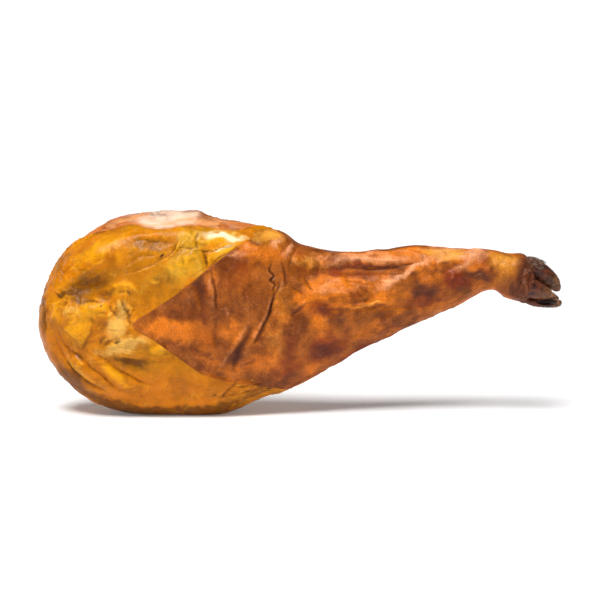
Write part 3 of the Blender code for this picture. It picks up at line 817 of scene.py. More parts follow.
def fat_masks(points, angles, lean, relief):
    """Where each colour of the fat and the lean shows, as shares from 0 to 1; some of them add painted
    shade in hollows and near the ground, and painted highlights on crests.
    """
    x, z = points[..., 0], points[..., 2]
    outer = facing_out(angles)
    drift = 4.0 * np.stack([noise(points, 18, 71), noise(points, 18, 72)], axis=-1)
    drift += 3.0 * np.stack([noise(points, 7, 73), noise(points, 7, 74)], axis=-1)
    wx, wz = x + drift[..., 0], z + drift[..., 1]
    masks = {}
    for name, table in FAT_PATCHES.items():
        if name == "soot":
            found = spots(x + 0.15 * drift[..., 0], z + 0.15 * drift[..., 1], table, 4.0)
        else:
            found = 1.3 * spots(wx, wz, table)
        masks[name] = found * outer
    hollow = hollowness(relief, 24, 2.4)
    crest = np.clip((relief - blurred(relief, 24)) / 2.4, 0, 1)
    fine_hollow = hollowness(relief, 5, 0.7)
    fine_crest = np.clip((relief - blurred(relief, 5)) / 0.6, 0, 1)
    back = 1 - outer
    # Painted shade: the fat is made browner in fine and broad hollows and within about 24 mm of the ground.
    low = 1 - ramp(3, 24, z + 4 * noise(points, 30, 80))
    masks["brown"] += 0.5 * fine_hollow
    # Painted highlights: gold and pale on the relief's fine crests.
    masks["gold"] += 0.45 * fine_crest
    masks["pale"] += 0.25 * fine_crest**2
    masks["brown"] += 0.4 * hollow + 0.45 * low + 0.7 * back * ramp(0.0, 0.6, fractal(points, 40, 3, 81))
    # Painted highlights: gold and pale on the broad crests.
    masks["gold"] += 0.3 * crest + 0.5 * back * np.clip(noise(points, 50, 82), 0, 1)
    masks["pale"] += 0.25 * crest * crest + 0.5 * back * ramp(0.1, 0.6, fractal(points, 30, 3, 83))
    # Painted shade: olive in the broad hollows.
    masks["olive"] += 0.4 * hollow + 0.5 * back * np.clip(noise(points, 42, 84), 0, 1)
    masks["amber"] += 0.6 * back * np.clip(noise(points, 60, 85) + 0.2, 0, 1)
    masks["lean"] = lean
    crest_side = ramp(*CREST_FACING, -np.cos(angles)) + np.zeros_like(x)
    bloom_in, bloom_out = BLOOM_ENDS_X
    window = ramp(*bloom_in, wx) * (1 - ramp(*bloom_out, wx))
    streaks = fractal(points * (0.3, 1, 1), 11, 4, 91)
    masks["bloom"] = crest_side * window * np.clip(0.75 + 1.1 * streaks, 0, 1)
    masks["bloom"] += (1 - crest_side) * 0.38 * ramp(0.0, 0.7, fractal(points * (0.4, 1, 1), 26, 4, 92))
    masks["mould"] = spots(wx, wz, MOULD, 2.6) * crest_side
    masks["meat_back"] = 1 - crest_side
    soft = blurred(lean, 30)
    border = 4 * soft * (1 - soft)
    masks["rim"] = border * (0.6 + 0.6 * ramp(-0.3, 0.3, noise(points, 16, 95)))
    masks["brown"] += 0.45 * border * ramp(-0.3, 0.5, noise(points, 12, 98))
    masks["rim"] += lean * crest_side * (1 - window) * ramp(-0.3, 0.4, noise(points, 13, 96))
    masks["seared"] = lean * outer * spots(x + 0.5 * drift[..., 0], z + 0.3 * drift[..., 1], SEARED, 3.0)
    masks["seared"] += 0.6 * lean * back * ramp(0.0, 0.5, fractal(points * (0.6, 1, 1), 26, 4, 97))
    return {name: np.clip(values, 0, 1) for name, values in masks.items()}


def fat_mesh(settings):
    """The thigh outside the rind: x runs from the butt's pole by 1 - cos to just under the rind.

    Past the rind's edge the surface dips under it and closes on a hidden point.
    """
    angles = around()
    reach = rind_edge(angles) + FAT_TUCK - BUTT_X
    share = 1 - np.cos(np.linspace(FAT_POLE_ANGLE, 1, FAT_ROWS) * np.pi / 2)
    x = BUTT_X + share[:, None] * reach
    points = leg_points(x, angles)
    lean = lean_share(points, angles)
    relief = fat_relief(points, angles, lean, settings)
    masks = fat_masks(points, angles, lean, relief)
    tuck = FAT_TUCK_DEPTH * ramp(FAT_TUCK_STARTS, FAT_TUCK_ENDS, x - rind_edge(angles))
    shaped = grounded(points + outward(points) * (relief - tuck)[..., None])
    hidden = to_inside(shaped, FAT_HIDDEN_POINT, HIDDEN_ROWS)
    masks = {name: np.concatenate([values, [values[-1]] * HIDDEN_ROWS]) for name, values in masks.items()}
    pole = shaped[0].mean(axis=0)
    return surface("fat_and_lean", np.concatenate([shaped, hidden]), pole, FAT_HIDDEN_POINT, masks)


# ---------------------------------------------------------------------------------------------
# Rind
# ---------------------------------------------------------------------------------------------

# The first rows' distances from the rind's edge.
EDGE_STEPS = (0.0, 0.5, 1.1, 1.8, 2.7, 3.9, 5.4)
# The edge starts under the fat, rolls over in a low bead and follows the fat's relief for a while.
EDGE_UNDERCUT = 1.6
EDGE_UNDERCUT_REACH = 0.3
BEAD_SHARE = 0.2
BEAD_MIDDLE = 2.5
BEAD_WIDTH = 1.8
EDGE_FOLLOWS = 12
TOE_ROWS = 20
RIND_HIDDEN_POINT = (40.0, 0.0, 165.0)
SEAT_REACH = 3.5
SEAT_RISE = 1.4


def rind_relief(points, angles, settings):
    """Height of creases, sinews and wrinkles over the plain leg, in mm."""
    x, z = points[..., 0], points[..., 2]
    outer = facing_out(angles)
    shift_x, shift_z = 2.0 * noise(points, 16, 111), 2.0 * noise(points, 16, 112)
    creases = strokes(x + shift_x, z + shift_z, RIND_STROKES) + spots(x, z, RIND_BUMPS)
    shank = ramp(*SHANK_STARTS_X, x)
    broad = 1.5 * noise(points, 42, 121) * (1 - 0.4 * shank) + 0.7 * noise(points, 17, 122)
    lengthwise = points * (0.3, 1, 1)
    sinews = 0.9 * wrinkles(lengthwise, 13, 5, 131) - 0.2
    crossed = 0.7 * wrinkles(points * (1, 1, 0.45), 12, 6, 135) - 0.15
    pucker = 0.45 * wrinkles(points, 6.5, 3, 141) - 0.1
    back = (1 - outer) * (1.4 * wrinkles(points * (0.6, 1, 1), 26, 10, 151) - 0.3)
    detail = sinews * shank + crossed * (1 - shank) * 0.8 + pucker * (0.5 + 0.5 * noise(points, 30, 145))
    return (creases * outer + broad + detail + back) * settings.crease_depth * ramp(*GROUND_FADE_Z, z)


def rind_masks(points, angles, relief, from_edge):
    """Where each colour of the rind shows, as shares from 0 to 1; the crease mask is painted shade and the
    rose tint on crests is partly painted highlight.
    """
    x, z = points[..., 0], points[..., 2]
    outer = facing_out(angles)
    back = 1 - outer
    drift = 4.0 * np.stack([noise(points, 20, 171), noise(points, 20, 172)], axis=-1)
    drift += 3.0 * np.stack([noise(points, 8, 173), noise(points, 8, 174)], axis=-1)
    wx, wz = x + drift[..., 0], z + drift[..., 1]
    masks = {name: 1.15 * spots(wx, wz, table, 2.2) * outer for name, table in RIND_PATCHES.items()}
    masks["glow"] += back * ramp(0.0, 0.7, fractal(points, 50, 3, 181))
    masks["red"] += 0.8 * back * ramp(0.05, 0.6, fractal(points, 44, 3, 182))
    masks["dark"] += 0.7 * back * ramp(0.1, 0.6, fractal(points, 36, 3, 183))
    masks["dark"] += 0.85 * ramp(*FOOT_DARKENS_X, x)
    masks["yellow"] += 0.6 * back * ramp(0.15, 0.7, fractal(points, 40, 3, 184))
    masks["rosy_and_highlight"] += 0.5 * back * ramp(0.2, 0.7, fractal(points, 32, 3, 185))
    masks["glow"] += 0.5 * ramp(0.1, 0.6, fractal(points, 30, 3, 186))
    masks["red"] += 0.35 * ramp(0.15, 0.6, fractal(points, 26, 3, 187))
    masks["glow"] += 0.5 * ramp(-30, 40, x) * ramp(-0.5, 0.5, fractal(points, 22, 3, 188)) * outer
    # Painted shade: the crease colour fills the relief's hollows and creases, and a thin painted contact
    # shadow runs along the rind's cut edge.
    masks["seam"] = 0.8 * hollowness(relief, 12, 2.6) + 0.35 * np.exp(-((from_edge / 0.9) ** 2))
    # Painted highlight: the rose tint added on the relief's crests.
    masks["rosy_and_highlight"] += 0.35 * np.clip((relief - blurred(relief, 8)) / 1.2, 0, 1)
    masks["seam"] += 0.4 * hollowness(relief, 4, 0.6)
    masks["hairy"] = spots(x, z, HAIRY_SKIN, 3.0)
    return {name: np.clip(values, 0, 1) for name, values in masks.items()}


def claw_seats(points):
    """How near each place lies to a claw's root, from 0 to 1, by the distance from its centre line."""
    seat = np.zeros(points.shape[:-1])
    for path, half_heights, _ in CLAWS.values():
        for station, radius in zip(path[:3], half_heights):
            distance = np.linalg.norm(points - station, axis=-1)
            seat = np.maximum(seat, 1 - ramp(radius, radius + 2 * SEAT_REACH, distance))
    return seat


def rind_mesh(settings):
    """The rind: rows from its rolled edge to the foot's dome, then closed on the foot's pole.

    The height over the plain leg is the relief plus thickness * (1 - exp(-s/e)) with s from the
    edge, plus a low bead near the edge and a swelling round each claw's root.
    """
    angles = around()
    edge = rind_edge(angles)
    first = edge + np.array(EDGE_STEPS)[:, None]
    shares = np.linspace(0, 1, RIND_ROWS - len(EDGE_STEPS) - TOE_ROWS - HIDDEN_ROWS + 1)[1:, None]
    middle = first[-1] + shares * (TOE_X - TOE_DOME - first[-1])
    turn = np.linspace(0, np.pi / 2, TOE_ROWS + 1, endpoint=False)[1:, None]
    toe = TOE_X - TOE_DOME * (1 - np.sin(turn)) + np.zeros_like(edge)
    x = np.concatenate([first, middle, toe])
    from_edge = x - edge
    points = leg_points(x, angles)
    relief = rind_relief(points, angles, settings)
    masks = rind_masks(points, angles, relief, from_edge)
    lift = settings.rind_thickness * (1 - np.exp(-from_edge / settings.edge_roundness))
    bead = BEAD_SHARE * settings.rind_thickness * np.exp(-(((from_edge - BEAD_MIDDLE) / BEAD_WIDTH) ** 2))
    under = -EDGE_UNDERCUT * np.exp(-((from_edge / EDGE_UNDERCUT_REACH) ** 2))
    fat_side = fat_relief_at_edge(points, angles, settings, from_edge)
    height = lift + bead + under + relief * ramp(0, EDGE_FOLLOWS, from_edge) + fat_side
    swell = SEAT_RISE * claw_seats(points)
    shaped = grounded(points + outward(points) * (height + swell)[..., None])
    hidden = to_inside(shaped[::-1], RIND_HIDDEN_POINT, HIDDEN_ROWS)[::-1]
    masks = {name: np.concatenate([[values[0]] * HIDDEN_ROWS, values]) for name, values in masks.items()}
    pole = shaped[-1].mean(axis=0)
    return surface("rind", np.concatenate([hidden, shaped]), RIND_HIDDEN_POINT, pole, masks)


def fat_relief_at_edge(points, angles, settings, from_edge):
    """The fat's relief, which the rind follows at its edge and then lets go of."""
    follows = 1 - ramp(0, EDGE_FOLLOWS, from_edge)
    near = slice(0, int(np.argmax(follows.max(axis=1) <= 0)))
    height = np.zeros(points.shape[:-1])
    lean = lean_share(points[near], angles)
    height[near] = fat_relief(points[near], angles, lean, settings)
    return height * follows


# ---------------------------------------------------------------------------------------------
# Claws and hair
# ---------------------------------------------------------------------------------------------


def claw_frame(path, half_heights, half_depths):
    """Centre, direction, upward direction, half height and half depth along a claw, tip rounded."""
    stations = np.linspace(0, 1, len(path))
    along = np.linspace(0, 1, CLAW_ROWS)
    centre = np.column_stack([smooth(tuple(zip(stations, column)), along) for column in zip(*path)])
    ahead = np.gradient(centre, axis=0)
    ahead /= np.linalg.norm(ahead, axis=1)[:, None]
    upward = np.cross(ahead, (0, 1, 0))
    upward *= np.sign(upward[:, 2])[:, None]
    height = smooth(tuple(zip(stations, half_heights)), along)
    depth = smooth(tuple(zip(stations, half_depths)), along)
    turn = np.clip((along - (1 - CLAW_TIP_SHARE)) / CLAW_TIP_SHARE, 0, 1)
    share = np.sqrt(1 - (0.985 * turn) ** 2)
    centre = centre + ahead * (turn * 0.8 * min(half_heights[-1], half_depths[-1]))[:, None]
    return along, centre, upward, height * share, depth * share


def scooped(points):
    """Points inside the tilted ellipsoid move across it to its far wall, which hollows the sole."""
    cos, sin = math.cos(SCOOP_TILT), math.sin(SCOOP_TILT)
    turn = np.array([[1, 0, 0], [0, cos, -sin], [0, sin, cos]])
    local = (points - SCOOP_CENTRE) @ turn / SCOOP_RADII
    flat = local[..., 0] ** 2 + local[..., 2] ** 2
    inside = (local**2).sum(axis=-1) < 1
    floor = np.sqrt(np.clip(1 - flat, 0, 1))
    depth = np.where(inside, floor - local[..., 1], 0)
    local[..., 1] = np.where(inside, floor, local[..., 1])
    return (local * SCOOP_RADII) @ turn.T + SCOOP_CENTRE, np.abs(depth)


def claw_mesh(name, settings):
    """A horn claw: superellipse sections square to the centre line, with growth rings and chips."""
    path, half_heights, half_depths = CLAWS[name]
    along, centre, upward, height, depth = claw_frame(path, half_heights, half_depths)
    angles = np.linspace(0, 2 * np.pi, CLAW_COLUMNS, endpoint=False)
    across, up = np.cos(angles), np.sin(angles)
    reach = (np.abs(across) ** CLAW_SQUARENESS + np.abs(up) ** CLAW_SQUARENESS) ** (-1 / CLAW_SQUARENESS)
    side = (reach * across)[None, :, None] * depth[:, None, None] * np.array((0, 1, 0))
    rise = (reach * up)[None, :, None] * height[:, None, None] * upward[:, None, :]
    points = centre[:, None, :] + side + rise
    ring_phase = RING_TURNS * along[:, None] + RING_WANDER * noise(points, 9, 211)
    rings = settings.ring_depth * np.sin(ring_phase) * ramp(0.1, 0.3, along)[:, None]
    chips = 0.35 * noise(points, 4, 212) + 0.2 * noise(points, 1.8, 213)
    worn = ramp(0.55, 0.95, along)[:, None]
    points = points + outward(points) * (rings + chips * (0.35 + 0.65 * worn))[..., None]
    scooped_out = np.zeros(points.shape[:-1])
    if name == SCOOPED_CLAW:
        points, scooped_out = scooped(points)
    low = np.clip(-up, 0, 1)[None, :] ** 2 * np.ones_like(worn)
    rim = ramp(0.35, 0.95, along)[:, None] * (0.4 + 0.6 * low)
    masks = {
        "worn": np.clip(rim + 0.4 * noise(points, 6, 214) * worn, 0, 1),
        "root": np.broadcast_to(1 - ramp(0.15, 0.45, along)[:, None], points.shape[:-1]),
        "sole": np.clip(scooped_out * 3, 0, 1),
        "bands": 0.5 + 0.5 * np.sin(ring_phase * 0.5),
    }
    return surface(name, points, points[0].mean(axis=0), points[-1].mean(axis=0), masks)


HAIRS = 460
HAIR_SEED = 77
HAIR_ROWS = (10, 31)
HAIR_ANGLES = (45, 165)
HAIR_LENGTHS = (4.0, 9.0)
HAIR_START = 0.8
HAIR_LIFT = 0.28
HAIR_TAPER = 0.85
HAIR_SIDES = 3
HAIR_JOINTS = 5


def hair_mesh(settings):
    """Short grey hairs over the coronet: thin tapered tubes that bend towards the claw's tip.

    A point is root + t * length * direction + sag * t^2 + radius * (1 - taper * t) * ring.
    """
    rng = np.random.default_rng(HAIR_SEED)
    path, half_heights, half_depths = CLAWS["main_claw_upper"]
    _, centre, upward, height, depth = claw_frame(path, half_heights, half_depths)
    row = rng.integers(*HAIR_ROWS, HAIRS)
    angles = np.radians(rng.uniform(*HAIR_ANGLES, HAIRS))
    across, up = np.cos(angles)[:, None], np.sin(angles)[:, None]
    normal = across * np.array((0, 1, 0)) + up * upward[row]
    root = centre[row] + across * depth[row][:, None] * np.array((0, 1, 0))
    root += up * height[row][:, None] * upward[row] + HAIR_START * normal
    lay = np.column_stack([np.full(HAIRS, 1.0), rng.normal(0, 0.25, HAIRS), rng.normal(-0.42, 0.16, HAIRS)])
    direction = lay + HAIR_LIFT * normal
    direction /= np.linalg.norm(direction, axis=1)[:, None]
    length = rng.uniform(*HAIR_LENGTHS, HAIRS)
    t = np.linspace(0, 1, HAIR_JOINTS)
    bend = rng.normal(0, 0.8, (HAIRS, 3)) + (0, 0, -1.2)
    spine = (
        root[:, None, :]
        + (length[:, None] * t)[..., None] * direction[:, None, :]
        + (t**2)[None, :, None] * bend[:, None, :]
    )
    turn = np.linspace(0, 2 * np.pi, HAIR_SIDES, endpoint=False)
    side = np.cross(direction, (0, 0, 1))
    side /= np.linalg.norm(side, axis=1)[:, None]
    over = np.cross(side, direction)
    ring = np.cos(turn)[None, :, None] * side[:, None, :] + np.sin(turn)[None, :, None] * over[:, None, :]
    radius = settings.hair_radius * (1 - HAIR_TAPER * t)
    points = spine[:, :, None, :] + radius[None, :, None, None] * ring[:, None, :, :]
    corner = np.arange(HAIRS * HAIR_JOINTS * HAIR_SIDES).reshape(HAIRS, HAIR_JOINTS, HAIR_SIDES)
    right = np.roll(corner, -1, axis=2)
    quads = np.stack([corner[:, :-1], right[:, :-1], right[:, 1:], corner[:, 1:]], axis=-1).reshape(-1, 4)
    caps = corner[:, 0, ::-1].tolist() + corner[:, -1].tolist()
    mesh = bpy.data.meshes.new("coronet_hair")
    mesh.from_pydata(((points.reshape(-1, 3) - BOX_MIDDLE) * MM).tolist(), [], quads.tolist() + caps)
    mesh.shade_smooth()
    return mesh


# ---------------------------------------------------------------------------------------------
# Materials
# ---------------------------------------------------------------------------------------------


RANGE_SOCKETS = ("From Min", "From Max", "To Min", "To Max")


def linear(colour):
    """Display colour (0..1 each) as linear light."""
    return [c / 12.92 if c <= 0.04045 else ((c + 0.055) / 1.055) ** 2.4 for c in colour] + [1.0]


class Recipe:
    """A material's nodes, added one by one. Most methods return a socket."""

    def __init__(self, name):
        self.material = bpy.data.materials.new(name)
        self.material.use_nodes = True
        self.tree = self.material.node_tree
        self.shader = self.tree.nodes["Principled BSDF"]
        self.place = self.tree.nodes.new("ShaderNodeTexCoord").outputs["Object"]

    def link(self, source, socket):
        """Feeds a socket from another socket, or sets it to a constant."""
        if hasattr(source, "links"):
            self.tree.links.new(source, socket)
        else:
            socket.default_value = source

    def mask(self, name):
        """One of the mesh's point attributes."""
        made = self.tree.nodes.new("ShaderNodeAttribute")
        made.attribute_name = name
        return made.outputs["Fac"]

    def maths(self, operation, a, b=0.0, clamp=False):
        """An operation on two values."""
        made = self.tree.nodes.new("ShaderNodeMath")
        made.operation = operation
        made.use_clamp = clamp
        self.link(a, made.inputs[0])
        self.link(b, made.inputs[1])
        return made.outputs[0]

    def stretched(self, scale):
        """The object's coordinates times a scale along each axis."""
        made = self.tree.nodes.new("ShaderNodeMapping")
        made.inputs["Scale"].default_value = scale
        self.tree.links.new(self.place, made.inputs["Vector"])
        return made.outputs["Vector"]

    def noise(self, scale, detail=4.0, roughness=0.55, distortion=0.0, place=None):
        """Cloudy noise, about 0.5 in the mean; the scale is in cells per metre."""
        made = self.tree.nodes.new("ShaderNodeTexNoise")
        made.inputs["Scale"].default_value = scale
        made.inputs["Detail"].default_value = detail
        made.inputs["Roughness"].default_value = roughness
        made.inputs["Distortion"].default_value = distortion
        self.tree.links.new(place or self.place, made.inputs["Vector"])
        return made.outputs["Fac"]

    def cells(self, scale):
        """Distance to the nearest of scattered points, which makes round pebbles."""
        made = self.tree.nodes.new("ShaderNodeTexVoronoi")
        made.inputs["Scale"].default_value = scale
        made.inputs["Randomness"].default_value = 0.95
        self.tree.links.new(self.place, made.inputs["Vector"])
        return made.outputs["Distance"]

    def between(self, value, low, high, to_low=0.0, to_high=1.0):
        """A smooth step from to_low to to_high while the value goes from low to high."""
        made = self.tree.nodes.new("ShaderNodeMapRange")
        made.interpolation_type = "SMOOTHSTEP"
        for socket, limit in zip(RANGE_SOCKETS, (low, high, to_low, to_high)):
            made.inputs[socket].default_value = limit
        self.tree.links.new(value, made.inputs["Value"])
        return made.outputs["Result"]

    def mix(self, factor, a, b, blend="MIX"):
        """Two colours mixed or multiplied."""
        made = self.tree.nodes.new("ShaderNodeMix")
        made.data_type = "RGBA"
        made.blend_type = blend
        self.link(factor, made.inputs["Factor"])
        self.link(a, made.inputs["A"])
        self.link(b, made.inputs["B"])
        return made.outputs["Result"]

    def patch(self, name, grain, strength=0.85, spread=0.14):
        """A mask with a wide soft border that the grain makes uneven."""
        shift = self.between(grain, 0.3, 0.7, -spread, spread)
        return self.between(self.maths("ADD", self.mask(name), shift), 0.04, 1.04, 0.0, strength)

    def mottled(self, colour, scale, low, high):
        """The colour made darker and lighter by a cloudy noise, between two factors."""
        tone = self.between(self.noise(scale, 6, 0.72, 0.3), 0.3, 0.7, low, high)
        return self.mix(1.0, colour, tone, "MULTIPLY")

    def bump(self, height, distance, strength, below=None):
        """A normal bent by a height field, over another bump where one is given."""
        made = self.tree.nodes.new("ShaderNodeBump")
        made.inputs["Distance"].default_value = distance
        made.inputs["Strength"].default_value = strength
        self.tree.links.new(height, made.inputs["Height"])
        if below is not None:
            self.tree.links.new(below, made.inputs["Normal"])
        return made.outputs["Normal"]

    def finish(self, colour, roughness, normal, **fixed):
        """Sets the shader's inputs and returns the material; the keywords name plain sockets."""
        self.link(colour, self.shader.inputs["Base Color"])
        self.link(roughness, self.shader.inputs["Roughness"])
        if normal is not None:
            self.tree.links.new(normal, self.shader.inputs["Normal"])
        for socket, value in fixed.items():
            self.shader.inputs[socket.replace("_", " ")].default_value = value
        return self.material


def fat_material(paints):
    """Cured fat with its lean face: masked colours, some of them painted shade in hollows and near the
    ground and painted highlights on crests and the glossy band, cloudy tone changes, soft uneven gloss.
    """
    make = Recipe("ham_fat_and_lean")
    cloud = make.noise(16, 3, 0.5, 0.6)
    grain = make.noise(80, 6, 0.66, 0.5)
    colour = make.mix(make.between(cloud, 0.38, 0.66), linear(paints.fat), linear(paints.fat_amber))
    # Several of these mixes are painted light: the brown and olive ones carry painted shade, the gold and
    # pale ones painted highlights, and the white one painted glints.
    for mask, paint in (
        ("amber", paints.fat_amber), ("olive", paints.fat_olive_and_shade), ("straw", paints.fat_straw),
        ("gold", paints.fat_gold_and_highlight), ("brown", paints.fat_brown_and_shade), ("pale", paints.fat_pale_and_highlight),
        ("painted_glint", paints.fat_painted_glint),
    ):
        colour = make.mix(make.patch(mask, grain), colour, linear(paint))
    threads = make.noise(38, 6, 0.7, 1.2, make.stretched((0.5, 1.0, 1.6)))
    colour = make.mix(make.between(threads, 0.5, 0.72, 0.0, 0.4), colour, linear(paints.fat_brown_and_shade))
    lights = make.noise(55, 5, 0.65, 0.8)
    colour = make.mix(make.between(lights, 0.56, 0.74, 0.0, 0.3), colour, linear(paints.fat_gold_and_highlight))
    colour = make.mottled(colour, 34, 0.74, 1.2)

    fibres = make.noise(70, 6, 0.68, 0.5, make.stretched((0.2, 1.0, 1.0)))
    meat = make.mix(make.mask("meat_back"), linear(paints.lean), linear(paints.lean_back))
    meat = make.mix(make.between(fibres, 0.46, 0.68, 0.0, 0.65), meat, linear(paints.lean_dark))
    meat = make.mix(make.patch("bloom", fibres, 0.8, 0.35), meat, linear(paints.lean_bloom))
    speck = make.between(make.noise(190, 6, 0.78), 0.42, 0.6, 0.15, 0.9)
    grey = make.maths("MULTIPLY", speck, make.mask("mould"))
    meat = make.mix(grey, meat, linear(paints.mould_grey))
    meat = make.mix(make.patch("rim", fibres, 0.75, 0.3), meat, linear(paints.lean_rim))
    colour = make.mix(make.mask("lean"), colour, meat)
    colour = make.mix(make.patch("seared", fibres, 0.9, 0.2), colour, linear(paints.seared))
    colour = make.mix(make.mask("soot"), colour, linear(paints.soot))

    gloss = make.between(make.noise(22, 4, 0.6, 0.4), 0.3, 0.7, 0.24, 0.46)
    normal = make.bump(make.noise(90, 6, 0.62, 1.2), 0.0022, 0.55)
    normal = make.bump(fibres, 0.0012, 0.35, normal)
    return make.finish(
        colour, gloss, normal,
        Specular_IOR_Level=0.1, Subsurface_Weight=0.05, Subsurface_Scale=0.0012,
        Coat_Weight=0.06, Coat_Roughness=0.1,
    )


# How far a pale fleck, which is a painted glint, and a dark pore change the rind's colour.
PAINTED_GLINTS = (1.3, 1.27, 1.24, 1.0)
DARKER = (0.8, 0.75, 0.72, 1.0)


def rind_material(paints):
    """Smoke-brown rind: masked colours over a pebbled leather grain with a greasy sheen; the crease colour
    is painted shade, and the pale flecks and the rose tint on crests are painted highlights.
    """
    make = Recipe("ham_rind")
    cloud = make.noise(20, 5, 0.6, 0.7)
    colour = make.mix(make.between(cloud, 0.36, 0.66), linear(paints.rind), linear(paints.rind_light))
    grain = make.noise(95, 6, 0.68, 0.5)
    for mask, paint in (
        ("glow", paints.rind_glow), ("yellow", paints.rind_yellow), ("red", paints.rind_red),
        ("dark", paints.rind_dark), ("rosy_and_highlight", paints.rind_rosy_and_highlight),
    ):
        colour = make.mix(make.patch(mask, grain, 0.85, 0.18), colour, linear(paint))
    colour = make.mottled(colour, 46, 0.74, 1.22)
    # Painted shade in the creases and along the cut edge.
    colour = make.mix(make.maths("MULTIPLY", make.mask("seam"), 0.75), colour, linear(paints.seam))
    pebble = make.cells(620)
    fleck = make.noise(560, 3, 0.6)
    # Painted highlights: small pale glints scattered by the fleck noise.
    colour = make.mix(make.between(fleck, 0.5, 0.68), colour, PAINTED_GLINTS, "MULTIPLY")
    colour = make.mix(make.between(pebble, 0.35, 0.8), colour, DARKER, "MULTIPLY")
    hairy = make.maths("MULTIPLY", make.mask("hairy"), make.between(fleck, 0.4, 0.6), True)
    colour = make.mix(hairy, colour, linear(paints.hair))
    gloss = make.between(make.noise(30, 4, 0.6), 0.3, 0.7, 0.3, 0.5)
    normal = make.bump(make.noise(150, 5, 0.6, 0.6), 0.0012, 0.4)
    normal = make.bump(pebble, -0.0006, 0.45, normal)
    normal = make.bump(fleck, 0.0006, 0.35, normal)
    return make.finish(
        colour, gloss, normal,
        Specular_IOR_Level=0.14, Coat_Weight=0.05, Coat_Roughness=0.2,
    )


def horn_material(paints):
    """Horn: near-black with worn tan edges, faint bands and fine lengthwise scratches."""
    make = Recipe("claw_horn")
    streak = make.noise(240, 5, 0.6, 0.4, make.stretched((0.25, 1.0, 1.0)))
    colour = make.mix(make.between(streak, 0.35, 0.7), linear(paints.horn), linear(paints.horn_brown))
    colour = make.mix(make.maths("MULTIPLY", make.mask("bands"), 0.3), colour, linear(paints.horn_brown))
    colour = make.mix(make.maths("MULTIPLY", make.mask("root"), 0.6), colour, linear(paints.horn_brown))
    chipped = make.between(make.noise(160, 5, 0.7), 0.35, 0.6)
    worn = make.maths("MULTIPLY", make.mask("worn"), chipped, True)
    colour = make.mix(worn, colour, linear(paints.horn_tan))
    colour = make.mix(make.maths("MULTIPLY", make.mask("sole"), 0.8), colour, linear(paints.horn))
    gloss = make.between(make.noise(90, 4, 0.6), 0.3, 0.7, 0.2, 0.44)
    normal = make.bump(streak, 0.0005, 0.35)
    return make.finish(
        colour, gloss, normal,
        Specular_IOR_Level=0.28, Coat_Weight=0.08, Coat_Roughness=0.16,
    )


def hair_material(paints):
    """Grey hair: pale and dark strands by a slow noise."""
    make = Recipe("grey_hair")
    strand = make.between(make.noise(260, 2, 0.5), 0.42, 0.6)
    colour = make.mix(strand, linear(paints.hair), linear(paints.horn_brown))
    return make.finish(colour, 0.6, None)


def floor_material(paints):
    """A plain pale floor with a barely cloudy roughness."""
    make = Recipe("studio_floor")
    gloss = make.between(make.noise(3, 2, 0.5), 0.3, 0.7, 0.7, 0.8)
    white = (1.0, 1.0, 1.0, 1.0)
    return make.finish(
        linear(paints.floor), gloss, None,
        Specular_IOR_Level=0.1, Emission_Color=white, Emission_Strength=0.12,
    )


# ---------------------------------------------------------------------------------------------
# Settings
# ---------------------------------------------------------------------------------------------


def paint(label, description, red, green, blue):
    """A colour setting, given as display values from 0 to 255."""
    return bpy.props.FloatVectorProperty(
        name=label, description=description, subtype="COLOR_GAMMA", size=3, min=0.0, max=1.0,
        default=(red / 255, green / 255, blue / 255),
    )


def number(label, description, default, low, high):
    """A plain number or a length in millimetres."""
    return bpy.props.FloatProperty(name=label, description=description, default=default, min=low, max=high)


class HamShape(bpy.types.PropertyGroup):
    """Sizes of the ham's surfaces."""

    fold_depth: number("Fold depth", "Depth of the fat's folds, as a share", 1.15, 0.0, 2.0)
    crease_depth: number("Crease depth", "Depth of the rind's creases, as a share", 1.15, 0.0, 2.0)
    rind_thickness: number("Rind thickness", "How far the rind stands over the fat, in mm", 1.0, 0.2, 4.0)
    edge_roundness: number("Edge roundness", "How far the rind's edge rolls off, in mm", 0.9, 0.2, 3.0)
    ring_depth: number("Ring depth", "Depth of the growth rings on the claws, in mm", 0.16, 0.0, 1.0)
    hair_radius: number("Hair radius", "Radius of a hair at its root, in mm", 0.14, 0.02, 0.5)


